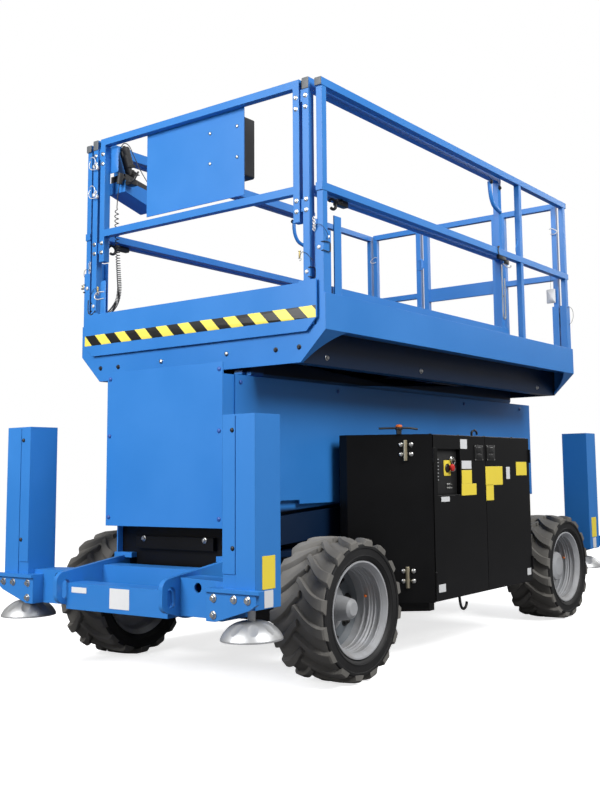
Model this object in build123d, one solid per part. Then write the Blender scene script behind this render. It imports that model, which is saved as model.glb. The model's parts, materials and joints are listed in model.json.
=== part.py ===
"""Electric rough-ground scissor lift with four outriggers, in its stowed pose.

Millimetres, +X forward (the steered end), +Y to the machine's left, +Z up.
The origin is on the ground, in the middle of the overall length and width.
"""

import os
from math import asin, atan2, cos, degrees, hypot, radians, sin, tan

from build123d import *

os.makedirs("parts", exist_ok=True)

# ------------------------------------------------------------ clearances
RUNNING_FIT = 0.05     # radial, a pin in its bore
SLIDE_GAP = 0.3        # a sliding member in its guide
SEAT_GAP = 0.3         # curved faces that meet
FREE_GAP = 5.0         # parts that pass each other

# ------------------------------------------------------------ wheels and axles
WHEELBASE = 2290.0
FRONT_AXLE_X = 1125.0
REAR_AXLE_X = FRONT_AXLE_X - WHEELBASE
HALF_LENGTH = 1880.0
WHEEL_RADIUS = 325.0
TYRE_WIDTH = 300.0
WHEEL_FACE_Y = 872.0
WHEEL_CENTRE_Y = WHEEL_FACE_Y - TYRE_WIDTH / 2
RIM_SEAT_RADIUS = 203.0
RIM_FLANGE_RADIUS = 219.0
RIM_WALL = 9.0
RIM_DISC_Y = -50.0     # outer face of the disc, from the wheel's centre plane
CARCASS_RADIUS = 296.0
TYRE_FACETS = 16
LUGS_PER_SIDE = 16
LUG_WIDTH = 40.0
LUG_SWEEP = 100.0      # along the tread, from centre line to shoulder
LUG_SHOULDER = 32.0
SPINDLE_RADIUS = 35.0
SPINDLE_TIP_Y = 760.0
DRUM_RADIUS = 110.0
DRUM_FACE_Y = 655.0
AXLE_BOTTOM_Z = 245.0
AXLE_DEPTH = 120.0     # along X
KINGPIN_Y = 500.0
KINGPIN_RADIUS = 20.0
YOKE_RADIUS = 40.0
YOKE_LUG = 25.0
YOKE_BOTTOM_Z = 215.0
YOKE_HEIGHT = 225.0
YOKE_ROOT_Y = 425.0
DRUM_ROOT_Y = 560.0
STEER_ARM = 140.0
STEER_ROD_Z = 285.0
STEER_ROD_RADIUS = 16.0

# ------------------------------------------------------------ scissor stack
ARM_LEVELS = 5
ARM_PIN_LENGTH = 2600.0
ARM_STOWED_RISE = 160.0
ARM_DEPTH = 140.0
ARM_WIDTH = 50.0
ARM_PIN_RADIUS = 25.0
ARM_CHAMFER = 34.0
INNER_ARM_Y = 287.0
ARM_SIDE_GAP = 10.0
OUTER_ARM_Y = INNER_ARM_Y + ARM_WIDTH + ARM_SIDE_GAP
CROSS_TUBE_RADIUS = 30.0
CROSS_TUBE_SHARE = 0.05
STACK_FRONT_X = 1255.0
STACK_BASE_Z = 660.0
ROLLER_RADIUS = 45.0
STOWED_ANGLE = asin(ARM_STOWED_RISE / ARM_PIN_LENGTH)
STACK_TOP_Z = STACK_BASE_Z + ARM_LEVELS * ARM_STOWED_RISE
STACK_REAR_X = STACK_FRONT_X - ARM_PIN_LENGTH * cos(STOWED_ANGLE)
RAISED_ANGLE = radians(60.4)
ROLLER_FRONT_X = STACK_FRONT_X - ARM_PIN_LENGTH * cos(RAISED_ANGLE)

# Lift cylinder, between the inner arms of levels 1 and 2; shares run from an arm's rear pin
BARREL_SHARE = 0.715
ROD_SHARE = 0.299
FORK_TUBE_SHARE = 0.234
BARREL_RADIUS = 60.0
BORE_RADIUS = 45.0
ROD_RADIUS = 32.0
ROD_EYE_RADIUS = 42.0
GLAND = 50.0
PISTON = 50.0
EYE_RADIUS = 55.0
EYE_WIDTH = 60.0

# ------------------------------------------------------------ chassis
WEB_Y = 335.0
WEB = 25.0
WEB_OUTER_Y = WEB_Y + WEB
WEB_BOTTOM_Z = 330.0
WEB_TOP_Z = 570.0
WEB_NOSE_Z = 507.0
WEB_SHOULDER_X = HALF_LENGTH - 405.0
WEB_HEEL_X = HALF_LENGTH - 140.0
NOSE_RADIUS = 44.0
NOSE_BOTTOM_Z = 372.0
LASHING_SLOT_X = HALF_LENGTH - 53.0
LASHING_SLOT_Z = 425.0
LASHING_SLOT_WIDTH = 44.0
LASHING_SLOT_HEIGHT = 90.0
FLANGE_INNER_Y = 285.0
FLANGE_Y = 410.0
FLANGE = 25.0
CROSS_MEMBER_X = HALF_LENGTH - 320.0
CROSS_MEMBER_LOW_Z = WEB_BOTTOM_Z + 50.0
CROSS_MEMBER_TOP_Z = CROSS_MEMBER_LOW_Z + 140.0
CROSS_MEMBER_XS = (-CROSS_MEMBER_X, REAR_AXLE_X, -500.0, 300.0, FRONT_AXLE_X, CROSS_MEMBER_X)
TRACK_TOP_Z = STACK_BASE_Z - ROLLER_RADIUS
SIDE_WALL_Y = 400.0
SIDE_WALL_TOP_Z = 1408.0
SIDE_WALL_FRONT_X = HALF_LENGTH - 409.0
SIDE_WALL_REAR_X = 230.0 - HALF_LENGTH
WALL_SHEET = 7.0
WALL_FOOT_Z = 775.0
WALL_STEPS = ((655.0, 20.0), (1000.0, 40.0), (1205.0, -15.0))
WALL_FEET_X = (-1380.0, -560.0, 560.0, 1360.0)
WALL_FOOT_WIDTH = 60.0
WALL_FOLD = 12.0
FRONT_PANEL_X = HALF_LENGTH - 331.0
FRONT_PANEL_Y = 393.0
PANEL_LAP_Y = SIDE_WALL_Y - WALL_SHEET - SLIDE_GAP
FRONT_PANEL_FOOT_Z = 703.0
FRONT_PANEL_TOP_Z = 1463.0
BULKHEAD_X = WEB_SHOULDER_X - 40.0
BULKHEAD_SHEET = 8.0

# ------------------------------------------------------------ outriggers
BUMPER_FRONT_X = HALF_LENGTH - 55.0
BUMPER_DEPTH = 100.0
BUMPER_BOTTOM_Z = 336.0
BUMPER_TOP_Z = 455.0
ARM_BOX_FRONT_X = BUMPER_FRONT_X - 50.0
ARM_BOX_DEPTH = 120.0
ARM_BOX_WALL = 10.0
ARM_BOX_BOTTOM_Z = 345.0
ARM_BOX_TOP_Z = 500.0
ARM_HOLE_RADIUS = 21.0
COLUMN_FRONT_X = BUMPER_FRONT_X - 10.0
COLUMN_DEPTH = 160.0
COLUMN_INNER_Y = 643.0
COLUMN_WIDTH = 180.0
COLUMN_WALL = 8.0
COLUMN_FOOT_Z = 400.0
COLUMN_TOP_Z = 1195.0
COLUMN_CAP = 8.0
STRIP_WIDTH = 70.0
STRIP_FOOT_Z = 538.0
STRIP_REBATE = 4.0
COLLAR_HEIGHT = 50.0
LEG_DEPTH = 120.0
LEG_WIDTH = 140.0
LEG_WALL = 8.0
LEG_FOOT_Z = 404.0
LEG_TOP_Z = 1130.0
PAD_RADIUS = 130.0
PAD_RIM_Z = 270.0
PAD_RIM = 7.0
PAD_CROWN_Z = 345.0
PAD_CROWN_RADIUS = 41.0
PAD_FLUTES = 8
PAD_FLUTE_RADIUS = 60.0
ANKLE_RADIUS = 17.0
SOCKET_FRONT_X = COLUMN_FRONT_X + 20.0
SOCKET_INNER_Y = 571.0
SOCKET_TOP_Z = 480.0
SOCKET_LEDGE = 15.0

# ------------------------------------------------------------ side modules
MODULE_INNER_Y = 458.0
MODULE_OUTER_Y = 850.0
MODULE_FRONT_X = 485.0
MODULE_BEVEL_X = 740.0
MODULE_BEVEL_Y = 505.0
MODULE_REAR_X = -635.0
MODULE_TOP_Z = 1138.0
MODULE_BOTTOM_Z = 285.0
MODULE_SHEET = 6.0
MODULE_SILL = 45.0
DOOR = 20.0
DOOR_SPLIT_X = -78.0
DOOR_GAP = 5.0
CONTROL_WINDOW_X = (208.0, 446.0)
CONTROL_WINDOW_Z = (820.0, 1062.0)
WINDOW_LAP = 5.0
DOOR_HINGE_RADIUS = 7.0
BATTERY_X = (-600.0, 60.0)
BATTERY_HEIGHT = 330.0
HANGER_HALF = 400.0
LADDER_STANDOFF = 90.0
LADDER_STRAP = 8.0
LADDER_Y = 205.0
LADDER_FOOT_Z = 505.0
LADDER_RUNGS = 4
LADDER_PITCH = 270.0
LADDER_STRAPS_Z = (860.0, SIDE_WALL_TOP_Z - 60.0)

# ------------------------------------------------------------ platform
DECK_REAR_X = -1446.0
DECK_FRONT_X = 1350.0
DECK_HALF_WIDTH = 840.0
DECK_FLOOR_Z = 1620.0
DECK_SHEET = 8.0
TOE_BOARD_Z = 1763.0
SKIRT_BEND_Z = 1594.0
SKIRT_LIP = 30.0
SKIRT_FOOT_Z = 1452.0
SKIRT_FOOT_Y = 692.0
GUSSET_LENGTH = 170.0
GUSSET_FOOT = 20.0
DECK_BEAM_WIDTH = 60.0
DECK_BEAM_Y = SKIRT_FOOT_Y - DECK_BEAM_WIDTH
DECK_CROSS_XS = (-1100.0, -600.0, -100.0, 400.0, 900.0)
DECK_CROSS = 45.0
TUBE = 38.0
POST = 34.0
RAIL_TOP_Z = 2788.0
TOP_RAIL = 38.0
MID_RAIL_Z = 2284.0
MID_RAIL = 38.0
RAIL_SLEEVE_Z = 2060.0
SLEEVE_WALL = 6.0
SLEEVE_DEPTH = 57.0
STUB_X = (1211.0, 1266.0)
STUB_TOP_Z = 2138.0
MIDDLE_POST_X = -730.0
GATE_HALF = 325.0
KICK_BAND_TOP_Z = 2304.0
KICK_BAND = 96.0
GATE_LIFT = 25.0
GATE_HINGES_Z = (2000.0, 2500.0)
GATE_HINGE_LENGTH = 60.0
GATE_HINGE_EAR = 12.0
GATE_PIN_RADIUS = 6.0
GATE_KNUCKLE_RADIUS = 11.0
POST_Y = DECK_HALF_WIDTH - DECK_SHEET - SLEEVE_WALL - POST / 2
REAR_POST_Y = POST_Y - POST - 3 * SLEEVE_WALL - FREE_GAP
FRONT_POST_X = DECK_FRONT_X - SLEEVE_WALL - POST / 2
REAR_POST_X = DECK_REAR_X + DECK_SHEET + SLEEVE_WALL + POST / 2
SIDE_POSTS_X = (FRONT_POST_X, MIDDLE_POST_X, REAR_POST_X)
GATE_X = REAR_POST_X
GATE_POST_Y = GATE_HALF + 30
GATE_LEAF_HALF = GATE_HALF - 16
GATE_HINGE_X = GATE_X + TUBE / 2
GATE_HINGE_Y = -(GATE_POST_Y - TUBE / 2 + GATE_LEAF_HALF) / 2

# ------------------------------------------------------------ extension deck
EXTENSION_FRONT_X = DECK_FRONT_X + 10.0
EXTENSION_REAR_X = -595.0
EXTENSION_FLOOR_Z = 1668.0
EXTENSION_HALF_WIDTH = 782.0
EXTENSION_TOE_Z = 1820.0
EXTENSION_PANEL_HALF = 800.0
EXTENSION_PANEL_FOOT_Z = 1591.0
EXTENSION_PANEL_CORNER = 60.0
EXTENSION_RAIL_Y = 741.0
EXTENSION_RAIL_TOP_Z = 2800.0
EXTENSION_TOP_RAIL = 54.0
FRONT_FRAME_POST_Y = 683.0
FRONT_FRAME_FOOT_Z = 2108.0
FRONT_SHEET_Y = (-372.0, 322.0)
FRONT_SHEET_Z = (2314.0, 2773.0)
FRONT_SHEET = 4.0
MANUAL_BOX_DEPTH = 70.0
MANUAL_BOX_Y = (60.0, 325.0)
MANUAL_BOX_Z = (2410.0, 2717.0)
MANUAL_BOX_RADIUS = 12.0
CRADLE_FRONT_X = EXTENSION_FRONT_X - 82.0
CRADLE_FRONT_Z = (2505.0, 2570.0)
CRADLE_REAR_Z = (2440.0, 2535.0)
CRADLE_OUTER_Y = TUBE / 2 + SLIDE_GAP - EXTENSION_RAIL_Y
CRADLE_WIDTH = 130.0
CRADLE_LENGTH = 230.0
CRADLE_SHEET = 4.0

# Curly cord of the control handset: straight runs with an arc at each bend
CORD_RADIUS = 13.0
CORD_ARC_SHARE = 0.45
CORD_X = EXTENSION_FRONT_X - 60.0
PLUG_LENGTH = 60.0
CORD_ROUTE = (
    # x, y, z
    (CORD_X, -615.0, 2545.0),
    (CORD_X, -638.0, 2432.0),
    (CORD_X, -626.0, 2230.0),
    (CORD_X, -612.0, 2050.0),
    (CORD_X, -598.0, 1930.0),
    (CORD_X, -645.0, 1847.0),
    (CORD_X, -730.0, 1808.0),
)


# ------------------------------------------------------------ shape helpers
def block(x_range, y_range, z_range):
    """Rectangular solid between two opposite corners."""
    size = [high - low for low, high in (x_range, y_range, z_range)]
    middle = [(high + low) / 2 for low, high in (x_range, y_range, z_range)]
    return Pos(*middle) * Box(*size)


def plate_xz(outline, y_range):
    """Plate whose outline lies in the X-Z plane, between two Y values."""
    y_low, y_high = y_range
    plane = Plane((0, y_low, 0), x_dir=(1, 0, 0), z_dir=(0, -1, 0))
    return extrude(plane * Polygon(*outline, align=None), amount=y_high - y_low, dir=(0, 1, 0))


def plate_yz(outline, x_range):
    """Plate whose outline lies in the Y-Z plane, between two X values."""
    x_low, x_high = x_range
    plane = Plane((x_low, 0, 0), x_dir=(0, 1, 0), z_dir=(1, 0, 0))
    return extrude(plane * Polygon(*outline, align=None), amount=x_high - x_low, dir=(1, 0, 0))


def plate_xy(outline, z_range):
    """Plate whose outline lies in the X-Y plane, between two Z values."""
    z_low, z_high = z_range
    plane = Plane((0, 0, z_low))
    return extrude(plane * Polygon(*outline, align=None), amount=z_high - z_low, dir=(0, 0, 1))


def rod_y(x, z, radius, y_range):
    """Round bar along Y."""
    y_low, y_high = y_range
    middle = Pos(x, (y_low + y_high) / 2, z)
    return middle * Rot(90, 0, 0) * Cylinder(radius, y_high - y_low)


def rod_z(x, y, radius, z_range):
    """Round bar along Z."""
    z_low, z_high = z_range
    return Pos(x, y, (z_low + z_high) / 2) * Cylinder(radius, z_high - z_low)


def turned_y(profile):
    """Solid of revolution about the Y axis from (radius, y) points."""
    return revolve(Polygon(*profile, align=None), axis=Axis.Y)


def both_sides(shape):
    """The shape and its mirror image across the machine's centre plane."""
    return shape + mirror(shape, about=Plane.XZ)


def side_of(shape, side):
    """The left-hand shape, mirrored for side -1."""
    return shape if side > 0 else mirror(shape, about=Plane.XZ)


def save(shape, node):
    """Write one named node."""
    export_step(shape, f"parts/{node}.step")


# ------------------------------------------------------------ wheels
def ring_between(stations):
    """Faceted solid about the Y axis through (y, radius) stations."""
    sections = []
    for y, radius in stations:
        plane = Plane((0, y, 0), x_dir=(1, 0, 0), z_dir=(0, 1, 0))
        sections.append(plane * RegularPolygon(radius, TYRE_FACETS))
    return loft(sections, ruled=True)


def tread_lug(side, half):
    """One slanted lug at the top of the tyre, from the centre line to a shoulder."""
    low = RIM_FLANGE_RADIUS + 45
    plan = Polygon(
        (-LUG_SWEEP / 2, -side * 8), (LUG_WIDTH - LUG_SWEEP / 2, -side * 8),
        (LUG_WIDTH + LUG_SWEEP / 2, side * half), (LUG_SWEEP / 2, side * half), align=None,
    )
    bar = extrude(Plane((0, 0, low)) * plan, amount=WHEEL_RADIUS - low, dir=(0, 0, 1))
    section = plate_yz([
        (-side * 8, low), (-side * 8, WHEEL_RADIUS), (side * (half - LUG_SHOULDER), WHEEL_RADIUS),
        (side * half, WHEEL_RADIUS - LUG_SHOULDER), (side * half, low),
    ], (-WHEEL_RADIUS, WHEEL_RADIUS))
    return bar & section


def tyre():
    """Tyre about the Y axis at the origin, with its outer face at +Y."""
    half = TYRE_WIDTH / 2
    bead = half - 24
    bead_radius = RIM_FLANGE_RADIUS + 3
    toe_radius = RIM_SEAT_RADIUS + 3
    carcass = ring_between([
        (10 - bead, toe_radius), (-bead, bead_radius), (3 - half, bead_radius + 42), (34 - half, CARCASS_RADIUS),
        (half - 34, CARCASS_RADIUS), (half - 3, bead_radius + 42), (bead, bead_radius), (bead - 10, toe_radius),
    ])
    bore_radius = (RIM_SEAT_RADIUS + 0.1) / cos(radians(180 / TYRE_FACETS))
    envelope = ring_between([(-half, WHEEL_RADIUS), (half, WHEEL_RADIUS)])
    pitch = 360 / LUGS_PER_SIDE
    bars = []
    for index in range(LUGS_PER_SIDE):
        bars.append(Rot(0, index * pitch, 0) * tread_lug(1, half))
        bars.append(Rot(0, (index + 0.5) * pitch, 0) * tread_lug(-1, half))
    lugs = (Part() + bars) & envelope
    return carcass + lugs - ring_between([(-half, bore_radius), (half, bore_radius)])


def rim(cap_reach, cap_radius):
    """Dished wheel with its hub, about the Y axis; the hub cap reaches out to +Y."""
    edge = TYRE_WIDTH / 2 - 16
    seat = RIM_SEAT_RADIUS - SEAT_GAP
    drop = RIM_SEAT_RADIUS - RIM_WALL
    hub_back = DRUM_FACE_Y + FREE_GAP + 2 - WHEEL_CENTRE_Y
    bore_end = SPINDLE_TIP_Y + 2 - WHEEL_CENTRE_Y
    bore = SPINDLE_RADIUS + RUNNING_FIT
    profile = [
        (bore, hub_back), (178, hub_back), (drop, hub_back - 20), (drop, 20 - edge),
        (RIM_FLANGE_RADIUS, -edge), (RIM_FLANGE_RADIUS, 6.5 - edge), (seat, 17 - edge), (seat, edge - 17),
        (RIM_FLANGE_RADIUS, edge - 6.5), (RIM_FLANGE_RADIUS, edge), (RIM_FLANGE_RADIUS - 8, edge),
        (drop + 2, edge - 20), (drop + 2, edge - 62), (drop - 8, edge - 72), (drop - 8, RIM_DISC_Y + 26),
        (drop - 26, RIM_DISC_Y), (116, RIM_DISC_Y), (104, RIM_DISC_Y + 12), (cap_radius + 14, RIM_DISC_Y + 22),
        (cap_radius, cap_reach - 34), (cap_radius - 5, cap_reach - 12), (cap_radius * 0.6, cap_reach),
        (0, cap_reach), (0, bore_end), (bore, bore_end),
    ]
    return turned_y(profile)


WHEEL_TABLE = (
    # name, axle x, side, cap reach, cap radius
    ("front_left", FRONT_AXLE_X, 1, 92.0, 50.0),
    ("front_right", FRONT_AXLE_X, -1, 92.0, 50.0),
    ("rear_left", REAR_AXLE_X, 1, 84.0, 92.0),
    ("rear_right", REAR_AXLE_X, -1, 84.0, 92.0),
)


def build_wheels():
    """Four tyres and four rims."""
    lugged = tyre()
    for name, axle_x, side, cap_reach, cap_radius in WHEEL_TABLE:
        place = Pos(axle_x, WHEEL_CENTRE_Y, WHEEL_RADIUS)
        save(side_of(place * lugged, side), f"tyre_{name}")
        save(side_of(place * rim(cap_reach, cap_radius), side), f"rim_{name}")


# ------------------------------------------------------------ axles and steering
def spindle(axle_x):
    """Brake drum and wheel spindle of the left side."""
    drum = rod_y(axle_x, WHEEL_RADIUS, DRUM_RADIUS, (DRUM_ROOT_Y, DRUM_FACE_Y))
    pin = rod_y(axle_x, WHEEL_RADIUS, SPINDLE_RADIUS, (DRUM_FACE_Y, SPINDLE_TIP_Y))
    return drum + pin


def rear_axle():
    """Fixed rear axle with its wheel spindles."""
    top = WEB_BOTTOM_Z - SLIDE_GAP
    half_depth = AXLE_DEPTH / 2
    beam = block((REAR_AXLE_X - half_depth, REAR_AXLE_X + half_depth), (-470, 470), (AXLE_BOTTOM_Z, top))
    end = block((REAR_AXLE_X - 75, REAR_AXLE_X + 75), (430, DRUM_ROOT_Y), (AXLE_BOTTOM_Z, 400))
    return beam + both_sides(end + spindle(REAR_AXLE_X))


def front_axle():
    """Front axle beam with kingpin yokes and the fixed steering cylinder."""
    top = WEB_BOTTOM_Z - SLIDE_GAP
    half_depth = AXLE_DEPTH / 2
    yoke_top = YOKE_BOTTOM_Z + YOKE_HEIGHT
    beam = block((FRONT_AXLE_X - half_depth, FRONT_AXLE_X + half_depth), (-420, 420), (AXLE_BOTTOM_Z, top))
    cheek = block((FRONT_AXLE_X - 50, FRONT_AXLE_X + 50), (YOKE_ROOT_Y - 30, YOKE_ROOT_Y), (YOKE_BOTTOM_Z, yoke_top))
    yoke = cheek
    for low in (YOKE_BOTTOM_Z, yoke_top - YOKE_LUG):
        tongue_x = (FRONT_AXLE_X - YOKE_RADIUS, FRONT_AXLE_X + YOKE_RADIUS)
        tongue = block(tongue_x, (YOKE_ROOT_Y, KINGPIN_Y), (low, low + YOKE_LUG))
        yoke += tongue + rod_z(FRONT_AXLE_X, KINGPIN_Y, YOKE_RADIUS, (low, low + YOKE_LUG))
    yoke += rod_z(FRONT_AXLE_X, KINGPIN_Y, KINGPIN_RADIUS, (YOKE_BOTTOM_Z, yoke_top))
    rod_x = FRONT_AXLE_X - STEER_ARM
    cylinder = rod_y(rod_x, STEER_ROD_Z, 34, (-210, 210))
    cylinder += block((rod_x, FRONT_AXLE_X - half_depth), (-150, 150), (STEER_ROD_Z - 22, STEER_ROD_Z + 22))
    bore = rod_y(rod_x, STEER_ROD_Z, STEER_ROD_RADIUS + RUNNING_FIT, (-220, 220))
    return beam + both_sides(yoke) + (cylinder - bore)


def knuckle():
    """Left steering knuckle: barrel, brake drum, spindle and steering arm."""
    gap = 0.5
    bottom = YOKE_BOTTOM_Z + YOKE_LUG + gap
    top = YOKE_BOTTOM_Z + YOKE_HEIGHT - YOKE_LUG - gap
    barrel = rod_z(FRONT_AXLE_X, KINGPIN_Y, 36, (bottom, top))
    neck_z = (WHEEL_RADIUS - 60, WHEEL_RADIUS + 60)
    neck = block((FRONT_AXLE_X - 30, FRONT_AXLE_X + 30), (KINGPIN_Y, DRUM_ROOT_Y), neck_z)
    arm = plate_xy([
        (FRONT_AXLE_X, KINGPIN_Y - 30), (FRONT_AXLE_X, KINGPIN_Y + 30),
        (FRONT_AXLE_X - STEER_ARM, KINGPIN_Y + 2), (FRONT_AXLE_X - STEER_ARM - 20, KINGPIN_Y - 20),
        (FRONT_AXLE_X - STEER_ARM, KINGPIN_Y - 42),
    ], (STEER_ROD_Z + 22, STEER_ROD_Z + 37))
    bore = rod_z(FRONT_AXLE_X, KINGPIN_Y, KINGPIN_RADIUS + RUNNING_FIT, (bottom - 1, top + 1))
    return barrel + neck + arm + spindle(FRONT_AXLE_X) - bore


def steer_rod():
    """Track rod that slides through the steering cylinder."""
    rod_x = FRONT_AXLE_X - STEER_ARM
    rod = rod_y(rod_x, STEER_ROD_Z, STEER_ROD_RADIUS, (-462, 462))
    eye = rod_z(rod_x, KINGPIN_Y - 20, 22, (STEER_ROD_Z - 7, STEER_ROD_Z + 7))
    return rod + both_sides(eye)


def build_axles():
    """Axles, knuckles and the steering rod."""
    save(rear_axle(), "rear_axle")
    save(front_axle(), "front_axle")
    for name, side in (("left", 1), ("right", -1)):
        save(side_of(knuckle(), side), f"knuckle_{name}")
    save(steer_rod(), "steer_rod")


# ------------------------------------------------------------ chassis
def lashing_plate():
    """Left web outline with rounded noses and a lashing slot at both ends."""
    tip = HALF_LENGTH
    nose_rise = (WEB_TOP_Z - 14 - WEB_NOSE_Z) / (tip - NOSE_RADIUS - WEB_SHOULDER_X)
    outline = Polygon(
        (-WEB_HEEL_X, WEB_BOTTOM_Z), (WEB_HEEL_X, WEB_BOTTOM_Z), (tip, NOSE_BOTTOM_Z),
        (tip, WEB_NOSE_Z - nose_rise * NOSE_RADIUS), (WEB_SHOULDER_X, WEB_TOP_Z - 14),
        (WEB_SHOULDER_X, WEB_TOP_Z), (-WEB_SHOULDER_X, WEB_TOP_Z), (-WEB_SHOULDER_X, WEB_TOP_Z - 14),
        (-tip, WEB_NOSE_Z - nose_rise * NOSE_RADIUS), (-tip, NOSE_BOTTOM_Z), align=None,
    )
    noses = [vertex for vertex in outline.vertices() if abs(vertex.X) > tip - 1]
    profile = fillet(noses, NOSE_RADIUS)
    for x in (-LASHING_SLOT_X, LASHING_SLOT_X):
        slot = Rot(0, 0, 90) * SlotOverall(LASHING_SLOT_HEIGHT, LASHING_SLOT_WIDTH)
        profile -= Pos(x, LASHING_SLOT_Z) * slot
    return profile


def chassis_web():
    """Left frame web with its flanges, the roller track and the lug of the lowest arm."""
    plane = Plane((0, WEB_Y, 0), x_dir=(1, 0, 0), z_dir=(0, -1, 0))
    web = extrude(plane * lashing_plate(), amount=WEB, dir=(0, 1, 0))
    run = (-WEB_SHOULDER_X, WEB_SHOULDER_X)
    top_flange = block(run, (FLANGE_INNER_Y, FLANGE_Y), (WEB_TOP_Z - FLANGE, WEB_TOP_Z))
    foot_flange = block(run, (WEB_OUTER_Y, WEB_OUTER_Y + FLANGE), (WEB_BOTTOM_Z, WEB_BOTTOM_Z + 15))
    track = block(
        (STACK_REAR_X - 70, ROLLER_FRONT_X + 70),
        (OUTER_ARM_Y - ARM_WIDTH / 2, OUTER_ARM_Y + 20),
        (WEB_TOP_Z, TRACK_TOP_Z - SLIDE_GAP),
    )
    lug_y = (FLANGE_INNER_Y + 2, OUTER_ARM_Y - ARM_WIDTH / 2 - FREE_GAP)
    lug = block((STACK_FRONT_X - 55, STACK_FRONT_X + 55), lug_y, (WEB_TOP_Z, STACK_BASE_Z + 50))
    lug -= rod_y(STACK_FRONT_X, STACK_BASE_Z, ARM_PIN_RADIUS + RUNNING_FIT, (lug_y[0] - 1, lug_y[1] + 1))
    return web + top_flange + foot_flange + track + lug


def chassis_frame():
    """Welded frame: two webs, cross members and the front and rear cross beams."""
    frame = both_sides(chassis_web())
    for x in CROSS_MEMBER_XS:
        frame += block((x - 50, x + 50), (-WEB_Y, WEB_Y), (CROSS_MEMBER_LOW_Z, CROSS_MEMBER_TOP_Z))
    for end in (1, -1):
        span = sorted((end * BUMPER_FRONT_X, end * (BUMPER_FRONT_X - BUMPER_DEPTH)))
        frame += block(span, (-WEB_Y, WEB_Y), (BUMPER_BOTTOM_Z, BUMPER_TOP_Z))
    return frame


def side_wall():
    """Left stack cover: stepped sheet wall with end folds, on feet that stand on the frame flange."""
    outer = SIDE_WALL_Y
    inner = outer - WALL_SHEET
    foot_z = WALL_FOOT_Z
    outline = [(SIDE_WALL_REAR_X, SIDE_WALL_TOP_Z), (SIDE_WALL_REAR_X, foot_z)]
    for step_x, rise in WALL_STEPS:
        outline += [(step_x, foot_z), (step_x, WALL_FOOT_Z + rise)]
        foot_z = WALL_FOOT_Z + rise
    outline += [(SIDE_WALL_FRONT_X, foot_z), (SIDE_WALL_FRONT_X, SIDE_WALL_TOP_Z)]
    wall = plate_xz(outline, (inner, outer))
    rear_fold = (SIDE_WALL_REAR_X, SIDE_WALL_REAR_X + WALL_SHEET)
    wall += block(rear_fold, (inner - WALL_FOLD, inner), (WALL_FOOT_Z, SIDE_WALL_TOP_Z))
    for x in WALL_FEET_X:
        foot_x = (x - WALL_FOOT_WIDTH / 2, x + WALL_FOOT_WIDTH / 2)
        wall += block(foot_x, (inner - WALL_SHEET, inner), (WEB_TOP_Z, WALL_FOOT_Z + 85))
    return wall


def front_panel():
    """Folded front cover of the stack, its returns lapping inside the side walls."""
    sheet_x = (FRONT_PANEL_X - WALL_SHEET, FRONT_PANEL_X)
    face = block(sheet_x, (-FRONT_PANEL_Y, FRONT_PANEL_Y), (FRONT_PANEL_FOOT_Z, FRONT_PANEL_TOP_Z))
    lap_y = (PANEL_LAP_Y - WALL_SHEET, PANEL_LAP_Y)
    lip = block((SIDE_WALL_FRONT_X - 60, sheet_x[0]), lap_y, (FRONT_PANEL_FOOT_Z, SIDE_WALL_TOP_Z))
    foot = block((SIDE_WALL_FRONT_X - 60, WEB_SHOULDER_X), lap_y, (WEB_TOP_Z, SIDE_WALL_TOP_Z - 60))
    return face + both_sides(lip + foot)


def front_bulkhead():
    """Dark cover across the frame under the front panel, with a stiffening channel."""
    face_x = (BULKHEAD_X, BULKHEAD_X + BULKHEAD_SHEET)
    half = PANEL_LAP_Y - WALL_SHEET
    upper = block(face_x, (-half, half), (WEB_TOP_Z, FRONT_PANEL_FOOT_Z - FREE_GAP))
    lower = block(face_x, (-FLANGE_INNER_Y + 3, FLANGE_INNER_Y - 3), (CROSS_MEMBER_LOW_Z, WEB_TOP_Z))
    channel = block((face_x[1], face_x[1] + 25), (-260, 260), (WEB_TOP_Z + 22, WEB_TOP_Z + 82))
    return upper + lower + channel


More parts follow.
